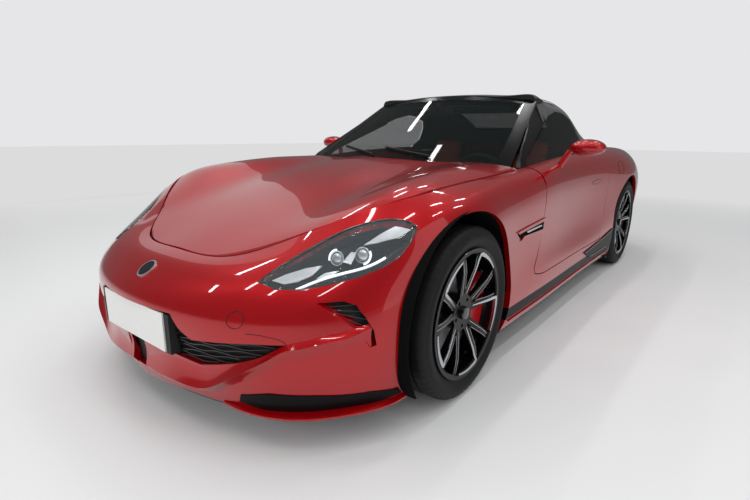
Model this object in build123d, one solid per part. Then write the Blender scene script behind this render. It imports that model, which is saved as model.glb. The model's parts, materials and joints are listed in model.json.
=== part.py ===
from build123d import *
from math import atan2, cos, degrees, pi, radians, sin, sqrt
import os

# A two-seat electric roadster with its soft top up, built panel by panel.
# Millimetres. +X is the car's left side, the nose points to -Y and +Z is up.
# The origin is on the ground, at the middle of the car's length and width.

# ---- Driving dimensions ------------------------------------------------------------------------
# Wheels and stance
front_overhang = 905.0
wheelbase = 2690.0
rear_overhang = 940.0
front_wheel_x = 802.5          # middle of the tyre, from the centreline
rear_wheel_x = 802.5
front_tyre_radius = 352.0
front_tyre_width = 245.0
rear_tyre_radius = 350.0
rear_tyre_width = 275.0
tyre_wall = 14.0
bead_radius = 255.0            # where the tyre sits on the rim
flange_radius = 268.0
rim_wall = 9.0
hub_radius = 74.0
spoke_depth = 34.0
bolt_circle_radius = 56.0
bolt_hole_radius = 8.0
brake_disc_radius = 190.0
brake_disc_wall = 30.0
front_arch_gap = 60.0          # from the tyre's tread to the edge of the wheel arch
rear_arch_gap = 42.0
steering_lock = 35.0           # degrees each way

# Body panels
panel_wall = 22.0
bonnet_wall = 20.0
deck_wall = 22.0
door_wall = 110.0              # depth over which the door's edge is bevelled
door_skin = 70.0
soft_top_wall = 26.0
screen_frame_wall = 34.0
screen_glass_wall = 6.0
side_glass_wall = 5.0
shut_gap = 5.0                 # round every panel that opens
shoulder_lip = 3.0             # the fenders' edge beside the bonnet and the decks
floor_clearance = 140.0        # ground to the flat underside
tray_wall = 14.0               # thickness of the splitter's and the diffuser's plate
sill_top = 332.0
sill_inner_x = 662.0
battery_height = 120.0
floor_wall = 20.0
firewall_y = -800.0
bulkhead_y = 905.0
bulkhead_top = 905.0

# Hinges: a pin on the tub or the deck in a barrel on what moves
running_gap = 0.3
door_pin_radius = 6.0
door_barrel_radius = 13.0
door_barrel_length = 40.0
door_lug_wall = 12.0
door_lug_radius = 11.0
door_hinge_x = 842.0
door_hinge_y = -510.0
door_hinge_z = 836.0
bonnet_hinge_y = -640.0
bonnet_hinge_z = 850.0
bonnet_pin_radius = 7.0
bonnet_barrel_radius = 14.0
boot_hinge_y = 1540.0
boot_hinge_z = 922.0
boot_pin_radius = 5.0
boot_barrel_radius = 11.0
boot_front_y = 1640.0          # the boot lid's front edge
boot_gap = 8.0                 # ahead of that edge, which dips forward as the lid rises
boot_lip = 5.0                 # the lid's thickness along that edge
boot_lip_length = 12.0
jack_pad_x = 780.0
jack_pad_y = (-700.0, 720.0)
jack_pad_size = 60.0
jack_pad_height = 10.0

# Cabin
seat_centre_x = 365.0
seat_width = 500.0
wheel_hub_radius = 45.0        # steering wheel
wheel_ring_radius = 178.0
wheel_ring_section = 15.0
steering_tilt = 24.0           # degrees from upright

# ---- Worked out --------------------------------------------------------------------------------
front_end_y = -(front_overhang + wheelbase + rear_overhang) / 2
front_axle_y = front_end_y + front_overhang
rear_axle_y = front_axle_y + wheelbase
front_arch_radius = front_tyre_radius + front_arch_gap
rear_arch_radius = rear_tyre_radius + rear_arch_gap
floor_top = floor_clearance + battery_height
tail_foot = 240.0              # lower edge of the tail's painted panel
cowl_top = 882.0               # shelf that the windscreen's frame stands on
post_x = 730.0                 # outer face of the tub's posts
plate_y = front_end_y + 18     # back of the front number plate
rear_plate_y = -front_end_y - 27.5
kingpin_inset = 70.0           # steering axis, inwards from the middle of the tyre
post_half = 152.0              # half the upright's height
arm_wall = 20.0
disc_back = -2.0               # inner face of the brake disc, from the middle of the tyre
hub_back = -10.0
caliper_radius = 226.0
wheel_centre = Vector(seat_centre_x, -170, 760)
column_axis = Vector(0, cos(radians(steering_tilt)), sin(radians(steering_tilt)))
door_hinge = Plane(origin=(door_hinge_x, door_hinge_y, door_hinge_z), x_dir=(0, 1, 0), z_dir=(0.8, 0, -0.6))
hinge_wall_x = 714.0           # outer face of the tub's wall that carries the bonnet's pins
boot_lug_x = 430.0             # outer face of the deck's lug that carries the boot lid's pin
FAR = 3000.0

# ---- Body sections, left half ------------------------------------------------------------------
# Each section runs down the side in seven points:
# shoulder (edge of bonnet, belt or deck), edge, upper, waist, lower, sill top, foot.
# Nose sections: (x, y from the front axle, z)
NOSE = [
    [(0, -698, 608), (0, -767, 585), (0, -827, 550), (0, -883, 505), (0, -905, 455), (0, -888, 300), (0, -838, 140)],
    [(260, -673, 612), (270, -738, 588), (280, -798, 550), (285, -847, 505), (285, -872, 455), (280, -858, 300),
     (270, -812, 140)],
    [(460, -522, 680), (520, -607, 630), (560, -678, 575), (590, -727, 510), (600, -747, 450), (600, -742, 300),
     (580, -707, 140)],
    [(640, -357, 775), (720, -418, 700), (770, -468, 620), (800, -498, 540), (815, -512, 450), (820, -512, 300),
     (800, -488, 140)],
    [(770, -167, 830), (845, -198, 775), (890, -218, 700), (905, -228, 600), (910, -238, 470), (905, -238, 310),
     (890, -238, 150)],
]
# Side sections: axle, y from that axle, then (x, z) of each point
SIDES = [
    (front_axle_y, 62, (790, 850), (865, 820), (915, 765), (935, 660), (930, 500), (920, 320), (900, 170)),
    (front_axle_y, 442, (790, 865), (860, 835), (900, 760), (905, 630), (905, 470), (915, 320), (905, 180)),
    (front_axle_y, 802, (785, 885), (855, 860), (895, 790), (895, 650), (895, 480), (920, 330), (910, 180)),
    (front_axle_y, 1262, (775, 915), (845, 885), (885, 800), (880, 650), (885, 480), (920, 330), (910, 180)),
    (rear_axle_y, -878, (760, 935), (850, 905), (895, 810), (890, 650), (895, 480), (925, 330), (910, 180)),
    (rear_axle_y, -428, (740, 945), (850, 920), (915, 830), (925, 670), (925, 500), (935, 340), (920, 190)),
    (rear_axle_y, 2, (720, 955), (840, 925), (925, 840), (956.5, 700), (955, 520), (945, 350), (930, 200)),
    (rear_axle_y, 422, (700, 945), (810, 905), (885, 820), (925, 690), (925, 530), (910, 370), (890, 220)),
]
# Tail sections: (x, y from the rear axle, z)
TAIL = [
    [(640, 733, 930), (720, 773, 880), (770, 798, 790), (800, 802, 670), (800, 793, 530), (780, 762, 380),
     (760, 722, 228)],
    [(400, 842, 925), (420, 908, 870), (435, 923, 780), (440, 918, 670), (440, 903, 530), (430, 873, 380),
     (420, 822, 228)],
    [(0, 862, 925), (0, 930, 870), (0, 940, 780), (0, 935, 670), (0, 923, 530), (0, 893, 380), (0, 842, 240)],
]
# Bonnet: height of the top at six distances from the centreline, at each y from the front axle
BONNET_X = (0, 200, 420, 620, 790, 900)
BONNET = [
    (-788, 575, 572, 560, 520, 450, 380),
    (-638, 632, 630, 630, 600, 550, 500),
    (-438, 705, 705, 715, 725, 660, 600),
    (-188, 780, 778, 785, 835, 815, 720),
    (62, 840, 838, 835, 880, 850, 780),
    (362, 890, 888, 880, 903, 865, 800),
    (612, 920, 915, 905, 905, 875, 810),
    (862, 935, 930, 920, 910, 885, 820),
]
# Rear deck: the same, at each y from the rear axle
DECK_X = (0, 250, 500, 700, 850)
DECK = [
    (-330, 1000, 995, 975, 950, 915),
    (-128, 985, 983, 972, 957, 925),
    (122, 975, 972, 965, 955, 915),
    (422, 962, 960, 955, 945, 890),
    (672, 945, 944, 941, 925, 860),
    (872, 925, 925, 922, 900, 840),
]
# Soft top: y, then (x, z) from the centreline down to the belt
SOFT_TOP = [
    (-60, (0, 1297), (240, 1290), (430, 1275), (560, 1258), (603, 1215), (652, 1110), (715, 985), (749, 915)),
    (250, (0, 1325), (240, 1316), (430, 1300), (560, 1268), (601, 1212), (652, 1110), (715, 985), (747, 920)),
    (550, (0, 1316), (240, 1306), (430, 1285), (560, 1246), (612, 1190), (657, 1100), (714, 985), (744, 925)),
    (800, (0, 1262), (240, 1252), (420, 1230), (540, 1195), (600, 1140), (650, 1060), (700, 985), (738, 925)),
    (1000, (0, 1175), (230, 1165), (400, 1145), (510, 1112), (585, 1070), (640, 1020), (690, 975), (728, 925)),
    (1180, (0, 1075), (230, 1068), (390, 1058), (500, 1042), (580, 1020), (635, 995), (680, 965), (718, 925)),
    (1330, (0, 1000), (230, 998), (390, 995), (500, 992), (575, 985), (625, 972), (665, 955), (705, 925)),
]
# Door opening seen from the side: y, z, and how far the edge steps forward across the door's thickness
DOOR_EDGE = [
    (-545, 1000, 0), (-522, 700, 0), (-512, 545, 0), (-585, 443, 0), (-650, 385, 0), (-645, 358, 0),
    (-600, 347, 0), (-555, 340, 0), (-510, 337, 0),
    (560, 337, 70), (690, 450, 70), (742, 620, 70), (700, 760, 70), (655, 900, 70), (640, 1000, 70),
]
# Side window seen from the side: (y, z)
WINDOW = [(-478, 880), (-478, 908), (187, 1163), (368, 1199), (502, 1189), (624, 1156), (668, 1100), (688, 1010),
          (628, 957), (592, 945), (588, 880)]
# Headlamp seen from above: (x, y from the front axle), inner tip first, then the upper and the lower edge
LAMP = [(499, -706), (544, -587), (590, -496), (649, -417), (714, -353), (767, -308), (814, -277), (838, -272),
        (841, -316), (833, -368), (810, -422), (766, -498), (709, -574), (644, -644), (573, -690)]
# What lies above the headlamp's lower edge, seen from the side: (y from the front axle, z)
LAMP_FLOOR = [(-740, 540), (-574, 565), (-498, 584), (-422, 610), (-368, 638), (-298, 688), (-250, 700), (-250, 1000),
              (-740, 1000)]
# Openings in the bumper seen from the front: (x, z)
MOUTH = [(250, 455), (284, 408), (333, 376), (451, 387), (546, 396), (650, 398), (590, 357), (507, 321),
         (349, 283), (213, 303), (75, 303), (60, 185)]
OUTER_INTAKE = [(697, 526), (755, 529), (784, 514), (807, 473), (826, 425), (833, 375), (822, 369), (800, 427),
                (768, 468), (736, 499)]
# Slot behind the front wheel seen from the side: (y, z)
VENT = [(-902, 603), (-500, 624), (-500, 555), (-837, 566)]
vent_depth = 12.0
lamp_depth = 45.0


# ---- Helpers -----------------------------------------------------------------------------------
def flipped(points):
    """The same points on the car's right side."""
    return [Vector(-p.X, p.Y, p.Z) for p in points]


def both_sides(shape):
    """A left-hand piece and its mirror image, as one compound."""
    return Compound(children=[*shape.solids(), *mirror(shape, about=Plane.YZ).solids()])


def largest(shape):
    """The shape's largest solid."""
    return max(shape.solids(), key=lambda piece: piece.volume)


def spacing(rows):
    """Where each row lies from 0 to 1, by the mean distance from row to row."""
    places = [0.0]
    for row, following in zip(rows, rows[1:]):
        places.append(places[-1] + sum((b - a).length for a, b in zip(row, following)) / len(row))
    return [p / places[-1] for p in places]


def lofted(rows, places):
    """A smooth face through rows of points: a curve along each column, lofted across.

    The curves share one spacing, so the face stays light.
    """
    lines = [Wire([Edge.make_spline([row[k] for row in rows], parameters=places)]) for k in range(len(rows[0]))]
    return Shell.make_loft(lines, ruled=False).faces()[0]


def moved_in(rows, depth):
    """The rows of points, each moved into the body by depth."""
    result = []
    for i, row in enumerate(rows):
        before = rows[max(i - 1, 0)]
        after = rows[min(i + 1, len(rows) - 1)]
        line = []
        for k, p in enumerate(row):
            run = row[min(k + 1, len(row) - 1)] - row[max(k - 1, 0)]
            line.append(p + (after[k] - before[k]).cross(run).normalized() * depth)
        result.append(line)
    return result


def wall(rows, thickness, start=0.0):
    """A wall through rows of points, from the depth start inwards."""
    places = spacing(rows)
    outer = lofted(moved_in(rows, start), places)
    inner = lofted(moved_in(rows, start + thickness), places)
    rims = []
    for edge in outer.edges():
        partner = min(inner.edges(), key=lambda other: (other.center() - edge.center()).length)
        rims.append(Face.make_surface_from_curves(edge, partner))
    return Solid(Shell([outer, inner, *rims]))


def across(points, start, end):
    """An outline of (y, z) points, drawn out along X."""
    face = make_face(Polyline(*[(start, y, z) for y, z in points], close=True))
    return extrude(face, amount=end - start, dir=(1, 0, 0))


def along(points, start, end):
    """An outline of (x, z) points, drawn out along Y."""
    face = make_face(Polyline(*[(x, start, z) for x, z in points], close=True))
    return extrude(face, amount=end - start, dir=(0, 1, 0))


def upward(points, start, end):
    """An outline of (x, y) points, drawn out along Z."""
    face = make_face(Polyline(*[(x, y, start) for x, y in points], close=True))
    return extrude(face, amount=end - start, dir=(0, 0, 1))


def block(x0, x1, y0, y1, z0, z1):
    """A box between two corners."""
    return Pos((x0 + x1) / 2, (y0 + y1) / 2, (z0 + z1) / 2) * Box(x1 - x0, y1 - y0, z1 - z0)


def rod_x(radius, x0, x1, y, z):
    """A round bar along X."""
    return Pos((x0 + x1) / 2, y, z) * Rot(0, 90, 0) * Cylinder(radius, x1 - x0)


def rod(start, end, radius):
    """A round bar between two points."""
    run = Vector(*end) - Vector(*start)
    return Plane(origin=start, z_dir=run) * Cylinder(radius, run.length, align=(Align.CENTER, Align.CENTER, Align.MIN))


def body_sections():
    """The sixteen left-hand sections, nose to tail."""
    rows = [[Vector(x, front_axle_y + y, z) for x, y, z in points] for points in NOSE]
    rows += [[Vector(x, axle + y, z) for x, z in points] for axle, y, *points in SIDES]
    rows += [[Vector(x, rear_axle_y + y, z) for x, y, z in points] for points in TAIL]
    return rows


def top_rows(table, columns, axle):
    """Rows of points over the bonnet or the deck, from right to left."""
    rows = []
    for y, *heights in table:
        left = [Vector(x, axle + y, z) for x, z in zip(columns, heights)]
        rows.append(flipped(left[:0:-1]) + left)
    return rows


def shoulder_plan(first, last, inset, bottom, top, closing):
    """A prism over the plan inside the shoulder line, from one section to another, held back by inset.

    closing gives extra (x, y) points that lead from the last left-hand point round to its mirror image.
    """
    return row_plan(0, first, last, inset, bottom, top, closing)


def row_plan(row, first, last, inset, bottom, top, closing):
    """The same over one row of the sections: 0 is the shoulder, 6 the foot."""
    points = [sections[i][row] for i in range(first, last + 1)]
    line = []
    for i, p in enumerate(points):
        before = points[max(i - 1, 0)]
        after = points[min(i + 1, len(points) - 1)]
        if p.X == 0:
            before, after = (before, Vector(-before.X, before.Y, 0)) if i else (Vector(-after.X, after.Y, 0), after)
        run = Vector(after.X - before.X, after.Y - before.Y, 0).normalized()
        line.append(Vector(p.X - run.Y * inset, p.Y + run.X * inset, bottom))
    if first == 0:
        left_to_right = [Vector(-p.X, p.Y, bottom) for p in line[:0:-1]] + line
    else:
        left_to_right = line + [Vector(-p.X, p.Y, bottom) for p in line[-2::-1]]
    start = left_to_right[0]
    end = left_to_right[-1]
    back = [Vector(x, y, bottom) for x, y in closing]
    outline = Wire([Edge.make_spline(left_to_right), *Polyline(end, *back, start).edges()])
    return extrude(make_face(outline), amount=top - bottom, dir=(0, 0, 1))


# ---- Shared shapes -----------------------------------------------------------------------------
sections = body_sections()
nose_rows = [flipped(sections[2]), flipped(sections[1]), *sections[:12]]
side_rows = sections[4:13]
bumper_rows = [*[flipped(s) for s in sections[7:0:-1]], *sections[:8]]
tail_rows = [*sections[7:], *[flipped(s) for s in sections[14:6:-1]]]
bonnet_rows = top_rows(BONNET, BONNET_X, front_axle_y)
deck_rows = top_rows(DECK, DECK_X, rear_axle_y)
front_arch = rod_x(front_arch_radius, 560, FAR, front_axle_y, front_tyre_radius)
rear_arch = rod_x(rear_arch_radius, 600, FAR, rear_axle_y, rear_tyre_radius)
lamp_plan = [(x, front_axle_y + y) for x, y in LAMP]
lamp_prism = upward(lamp_plan, 520, 1000) & across([(front_axle_y + y, z) for y, z in LAMP_FLOOR], 0, FAR)

# Side view of what belongs to the fender rather than to the bumper
fender_view = [(-692, 1300), (-692, 575), (-497, 640), (-357, 690), (-292, 676), (-176, 664), (0, 600), (0, 0),
               (900, 0), (900, 1300)]
fender_region = across([(front_axle_y + y, z) for y, z in fender_view], 0, FAR)
nose_plan = [(232, -372), (703, -907), (0, -1100), (-100, -372)]
nose_region = upward([(x, front_axle_y + y) for x, y in nose_plan], 0, 1300)
fender_region = fender_region - nose_region


def door_prism(grow):
    """The door's outline as a block that narrows towards the cabin, made larger all round by grow."""
    wires = []
    for x in (1000.0, 600.0):
        step = (900.0 - x) / door_wall
        outline = make_face(Polyline(*[(0, y - draft * step, z) for y, z, draft in DOOR_EDGE], close=True))
        if grow:
            outline = offset(outline, amount=grow, kind=Kind.INTERSECTION)
        wires.append(Pos(x, 0, 0) * outline.face().outer_wire())
    return Solid.make_loft(wires, ruled=True)


def side_slab(depth, outset, points):
    """A flat piece in the plane of the side window, from an outline of (y, z) points."""
    plane = Plane(origin=(752, 0, 910), x_dir=(0, 1, 0), z_dir=(1, 0, 0.5)).offset(outset)
    face = plane * make_face(Polyline(*[(y, (z - 910) * sqrt(1.25)) for y, z in points], close=True))
    return extrude(face, amount=-depth)


def screen_rows(reach, low, high):
    """Points of the windscreen: reach is the share of the half width, low and high of the height."""
    rows = []
    for up in (low, high):
        line = []
        for k in range(-2, 3):
            out = reach * k / 2
            line.append(Vector(out * (710 - 110 * up), -720 + 660 * up + out * out * (180 - 100 * up),
                               930 + 367 * up - out * out * (10 + 35 * up)))
        rows.append(line)
    return rows


def soft_top_columns():
    """The soft top's points as lines that run from the header to the deck, from right to left."""
    rows = []
    for y, *points in SOFT_TOP:
        left = [Vector(x, y, z) for x, z in points]
        rows.append(flipped(left[:0:-1]) + left)
    return [list(line) for line in zip(*rows[::-1])]


screen_opening = screen_rows(0.90, -0.2, 0.93)
bonnet_space = wall(bonnet_rows, bonnet_wall + shut_gap + 60, -60)
bonnet_space &= shoulder_plan(0, 7, shoulder_lip, 400, 1200, [])
deck_space = wall(deck_rows, deck_wall + shut_gap + 60, -60) & shoulder_plan(10, 15, shoulder_lip, 700, 1100, [])
nose_shell = wall(bumper_rows, panel_wall)
fender_shell = wall(nose_rows, panel_wall)
tail_shell = wall(tail_rows, panel_wall)


def mirrored_cut(shape, cutter):
    """A shape less a left-hand cutter and its mirror image."""
    return shape - cutter - mirror(cutter, about=Plane.YZ)


# ---- Painted body ------------------------------------------------------------------------------
def make_front_bumper():
    bumper = mirrored_cut(nose_shell, fender_region) - bonnet_space
    bumper = mirrored_cut(bumper, lamp_prism)
    bumper = mirrored_cut(bumper, front_arch)
    bumper -= block(-FAR, FAR, front_axle_y, FAR, 0, FAR)
    bumper -= block(-FAR, FAR, -FAR, FAR, 0, floor_clearance)
    bumper = mirrored_cut(bumper, along(OUTER_INTAKE, front_end_y - 50, front_axle_y - 300))
    mouth = [*MOUTH, *[(-x, z) for x, z in MOUTH[::-1]]]
    return bumper - along(mouth, front_end_y - 50, front_axle_y - 600)


def make_front_fenders():
    fender = (fender_shell & fender_region) - lamp_prism
    fender += block(post_x, 872, -700, -500, sill_top, 790)
    fender += block(post_x, 800, -600, -500, 780, 868)
    fender -= block(0, FAR, -FAR, FAR, 0, sill_top)
    fender -= front_arch
    fender -= door_prism(shut_gap)
    fender -= block(0, FAR, -400, FAR, 0, FAR)
    fender -= bonnet_space
    fender -= across([(-500, 795), (-541, 795), (-552, 815), (-552, 900), (-500, 900)], 740, FAR)
    vent = wall(side_rows, vent_depth) & across(VENT, 800, FAR)
    return both_sides(largest(fender - vent))


def make_rear_body():
    body = tail_shell & block(-FAR, FAR, 600, FAR, 0, FAR)
    jamb = block(post_x, 900, 690, 800, sill_top, 820) + block(post_x, 800, 650, 800, 810, bulkhead_top)
    body += jamb
    body += mirror(jamb, about=Plane.YZ)
    body = mirrored_cut(body, door_prism(shut_gap))
    body -= block(-FAR, FAR, 0, 1000, 0, sill_top)
    body -= block(-FAR, FAR, 1000, FAR, 0, tail_foot)
    body = mirrored_cut(body, rear_arch)
    body = body - tail_lamp_cut() - deck_space
    return body - block(-232, 232, rear_plate_y, FAR, 495, 655)


def tail_lamp_cut():
    """The full-width lamp slot, deeper at its ends like an arrow's head."""
    right = [(560, 745), (640, 715), (790, 760), (640, 812), (560, 790)]
    return along([*right, *[(-x, z) for x, z in right[::-1]]], rear_axle_y + 573, FAR)


def make_tail_lamps():
    return wall(tail_rows, panel_wall + 20) & tail_lamp_cut()


def make_bonnet():
    plan = shoulder_plan(0, 7, shoulder_lip + shut_gap, 400, 1200, [])
    panel = (wall(bonnet_rows, bonnet_wall) & plan) - behind_bonnet(0)
    y, z = bonnet_hinge_y, bonnet_hinge_z
    arm = across([(y - 12, z - 7), (y, z - 12), (y + 12, z), (y, z + 12), (y - 50, z + 26), (y - 120, z + 30),
                  (y - 120, z + 12)], hinge_wall_x + 2, hinge_wall_x + 28)
    arm += rod_x(bonnet_barrel_radius, hinge_wall_x + running_gap, hinge_wall_x + 30, y, z)
    arm -= rod_x(bonnet_pin_radius + running_gap, hinge_wall_x - 10, hinge_wall_x + 40, y, z)
    return panel + arm + mirror(arm, about=Plane.YZ)


def behind_bonnet(gap):
    """Everything behind the bonnet's rear edge."""
    edge = [(0, -810), (300, -783), (600, -700), (775, -660), (900, -655)]
    left = [(x, y + gap) for x, y in edge]
    return upward([*left, (900, 0), (-900, 0), *[(-x, y) for x, y in left[:0:-1]]], 400, 1200)


def make_cowl_panel():
    """The dark panel between the bonnet and the windscreen, standing on the cowl shelf."""
    panel = wall(bonnet_rows, 60, bonnet_wall) & behind_bonnet(shut_gap)
    panel &= block(-post_x, post_x, -FAR, -560, cowl_top, FAR)
    panel &= wall(screen_rows(1.05, -0.2, 0.5), 250, -250 - running_gap)
    return largest(panel)


def deck_plan(inset, y0, y1):
    plan = shoulder_plan(10, 15, inset, 700, 1100, [])
    return plan & block(-FAR, FAR, y0, y1, 0, FAR)


def make_boot_lid():
    """The lid and the two swan necks that carry it round the deck's edge."""
    lid = wall(deck_rows, deck_wall) & deck_plan(shoulder_lip + shut_gap, boot_front_y, FAR)
    lid -= wall(deck_rows, deck_wall, boot_lip) & block(-FAR, FAR, 0, boot_front_y + boot_lip_length, 0, FAR)
    neck = [(-9, 0), (-6, -70), (30, -128), (115, -150), (168, -75), (170, 24), (150, 24), (149, -68), (104, -130),
            (42, -110), (12, -62), (9, 0)]
    neck = across([(boot_hinge_y + y, boot_hinge_z + z) for y, z in neck], boot_lug_x + 10, boot_lug_x + 26)
    neck += rod_x(boot_barrel_radius, boot_lug_x + running_gap, boot_lug_x + 36, boot_hinge_y, boot_hinge_z)
    neck -= rod_x(boot_pin_radius + running_gap, 0, FAR, boot_hinge_y, boot_hinge_z)
    return lid + neck + mirror(neck, about=Plane.YZ)


def make_rear_deck():
    deck = wall(deck_rows, deck_wall) & deck_plan(shoulder_lip, 1310, boot_front_y - boot_gap)
    lug = block(boot_lug_x - 18, boot_lug_x, boot_hinge_y - 12, boot_hinge_y + 12, boot_hinge_z - 12,
                boot_hinge_z + 30)
    lug += rod_x(boot_pin_radius, boot_lug_x - 10, boot_lug_x + 36, boot_hinge_y, boot_hinge_z)
    return deck + lug + mirror(lug, about=Plane.YZ)


def make_side_sills():
    rows = [[*row[4:], Vector(row[6].X - 25, row[6].Y, floor_clearance - 20)] for row in side_rows]
    sill = extrude(lofted(rows, spacing(rows)), amount=400, dir=(-1, 0, 0))
    sill &= block(sill_inner_x, FAR, front_axle_y, rear_axle_y, floor_clearance, sill_top)
    sill = sill - front_arch - rear_arch
    half = jack_pad_size / 2
    for y in jack_pad_y:
        sill += block(jack_pad_x - half, jack_pad_x + half, y - half, y + half, floor_clearance - jack_pad_height,
                      floor_clearance + 5)
    return both_sides(sill)


def make_headlamps():
    lamp = (wall(nose_rows, lamp_depth) & lamp_prism) - bonnet_space
    return both_sides(lamp - rod_x(front_arch_radius + 7, 0, FAR, front_axle_y, front_tyre_radius))


def make_front_grille():
    """Dark panels behind the mouth and the outer intakes, and the plate's bracket."""
    deep = wall(bumper_rows, 12, panel_wall + running_gap)
    right = [(360, 480), (680, 440), (690, 380), (520, 290), (220, 270), (90, 150)]
    mouth = deep & along([*right, *[(-x, z) for x, z in right[::-1]]], front_end_y - 50, front_axle_y - 500)
    mouth += block(-249, 249, plate_y, plate_y + 60, 305, 449)
    mouth &= block(-FAR, FAR, -FAR, FAR, floor_clearance, FAR)
    side = deep & along([(660, 560), (790, 560), (860, 440), (855, 340), (800, 340), (660, 480)],
                        front_end_y - 50, front_axle_y - 430)
    return Compound(children=[*mouth.solids(), *both_sides(side).solids()])


# ---- Underside ---------------------------------------------------------------------------------
def make_front_splitter():
    tray_bottom = floor_clearance - tray_wall
    nose = row_plan(6, 0, 4, 0, tray_bottom, floor_clearance, [(700, front_axle_y), (sill_inner_x, -900),
                    (sill_inner_x, firewall_y), (-sill_inner_x, firewall_y), (-sill_inner_x, -900),
                    (-700, front_axle_y)])
    return nose - wheel_wells(front_axle_y, front_arch_radius, 460)


def wheel_wells(axle, radius, inner_x):
    wells = block(inner_x, FAR, axle - radius, axle + radius, 0, floor_clearance)
    return wells + mirror(wells, about=Plane.YZ)


def make_rear_diffuser():
    tray_bottom = floor_clearance - tray_wall
    profile = [(bulkhead_y, tray_bottom), (1800, tray_bottom), (2190, 205), (2190, tail_foot), (1780, tail_foot),
               (1760, floor_clearance), (bulkhead_y, floor_clearance)]
    plate = across(profile, -FAR, FAR)
    plan = row_plan(6, 10, 15, 0, 0, 400, [(-sill_inner_x, bulkhead_y), (sill_inner_x, bulkhead_y)])
    plate &= plan
    return plate - wheel_wells(rear_axle_y, rear_arch_radius, 590)


def make_battery_pack():
    return block(-sill_inner_x, sill_inner_x, firewall_y, bulkhead_y, floor_clearance, floor_top)


def make_floor_pan():
    """The tub: floor, firewall with the cowl shelf, side walls of the footwells, and the rear bulkhead."""
    pan = block(-sill_inner_x, sill_inner_x, firewall_y, bulkhead_y + 20, floor_top, floor_top + floor_wall)
    pan += block(-post_x, post_x, firewall_y, firewall_y + 20, floor_top, cowl_top - 18)
    pan += block(-post_x, post_x, bonnet_hinge_y - 20, -560, cowl_top - 14, cowl_top)
    pan += block(-post_x, post_x, firewall_y, bonnet_hinge_y - 20, cowl_top - 32, cowl_top - 18)
    pan += block(-post_x, post_x, bonnet_hinge_y - 20, bonnet_hinge_y, cowl_top - 32, cowl_top)
    pan += block(-post_x, post_x, bulkhead_y, bulkhead_y + 20, floor_top, bulkhead_top)
    for side in (1, -1):
        inner, outer = sorted((side * (post_x - 30), side * post_x))
        pan += block(inner, outer, firewall_y, -620, sill_top, cowl_top - 18)
        pan += block(inner, outer, 760, bulkhead_y + 20, sill_top, bulkhead_top)
        low, high = sorted((side * sill_inner_x, side * post_x))
        pan += block(low, high, firewall_y, firewall_y + 20, sill_top, cowl_top - 18)
    pan -= block(sill_inner_x, FAR, -FAR, FAR, 0, sill_top)
    pan -= block(-FAR, -sill_inner_x, -FAR, FAR, 0, sill_top)
    pan = mirrored_cut(pan, block(hinge_wall_x, FAR, -FAR, bonnet_hinge_y + 20, bonnet_hinge_z - 20, FAR))
    hinges = rod_x(bonnet_pin_radius, hinge_wall_x - 8, hinge_wall_x + 30, bonnet_hinge_y, bonnet_hinge_z)
    hinges += block(post_x - 30, post_x, -640, -490, 600, 760)
    hinges += make_door_lug()
    return pan + hinges + mirror(hinges, about=Plane.YZ)


def make_door_lug():
    """The plate that reaches from the tub into the door's front edge, with the door's hinge pin."""
    lug = Pos(0, -115, 0) * Box(2 * door_lug_radius, 230, door_lug_wall) + Cylinder(door_lug_radius, door_lug_wall)
    lug += Cylinder(door_pin_radius, door_barrel_length)
    return (door_hinge * lug) & block(post_x - 10, FAR, -FAR, FAR, 0, FAR)


def make_wheel_liners():
    front = rod_x(front_arch_radius + 6, 464, 905, front_axle_y, front_tyre_radius)
    front -= rod_x(front_arch_radius, 470, FAR, front_axle_y, front_tyre_radius)
    front -= block(0, 480, -FAR, FAR, -FAR, front_tyre_radius + 190)
    front -= block(0, FAR, -FAR, FAR, -FAR, floor_clearance)
    front = front - fender_shell - nose_shell
    rear = rod_x(rear_arch_radius + 6, 594, 905, rear_axle_y, rear_tyre_radius)
    rear -= rod_x(rear_arch_radius, 600, FAR, rear_axle_y, rear_tyre_radius)
    rear -= block(0, 610, -FAR, FAR, -FAR, rear_tyre_radius + 190)
    rear -= block(0, FAR, -FAR, FAR, -FAR, floor_clearance)
    rear -= block(0, FAR, rear_axle_y, FAR, 0, tail_foot)
    rear -= tail_shell
    liners = []
    for liner in (front, rear):
        liner = liner - block(sill_inner_x, FAR, front_axle_y, rear_axle_y, 0, sill_top)
        liners += both_sides(largest(liner)).solids()
    return Compound(children=liners)


def make_drive_units():
    units = block(-170, 170, front_axle_y - 150, front_axle_y + 150, floor_clearance, 420)
    return Compound(children=[units, block(-200, 200, rear_axle_y - 170, rear_axle_y + 170, floor_clearance, 440)])


def arms(axle, wheel_x, wheel_z, post_top, inner_x):
    """A tower on the tray with a lower and an upper wishbone that reach to the upright."""
    side = block(inner_x, inner_x + 60, axle - 90, axle + 90, floor_clearance, post_top + arm_wall)
    for z in (wheel_z - post_half - arm_wall, post_top):
        plan = [(inner_x + 30, axle - 90), (wheel_x - kingpin_inset + 30, axle - 24),
                (wheel_x - kingpin_inset + 30, axle + 24), (inner_x + 30, axle + 90)]
        side += upward(plan, z, z + arm_wall)
    return side


def upright(axle, wheel_x, wheel_z):
    """The post between the wishbones and the hub carrier that the wheel turns on."""
    x = wheel_x - kingpin_inset
    post = Pos(x, axle, wheel_z) * Cylinder(26, 2 * (post_half - running_gap))
    post += rod_x(58, x, wheel_x + hub_back - running_gap, axle, wheel_z)
    return post


def make_front_suspension():
    return both_sides(arms(front_axle_y, front_wheel_x, front_tyre_radius, front_tyre_radius + post_half, 190))


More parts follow.
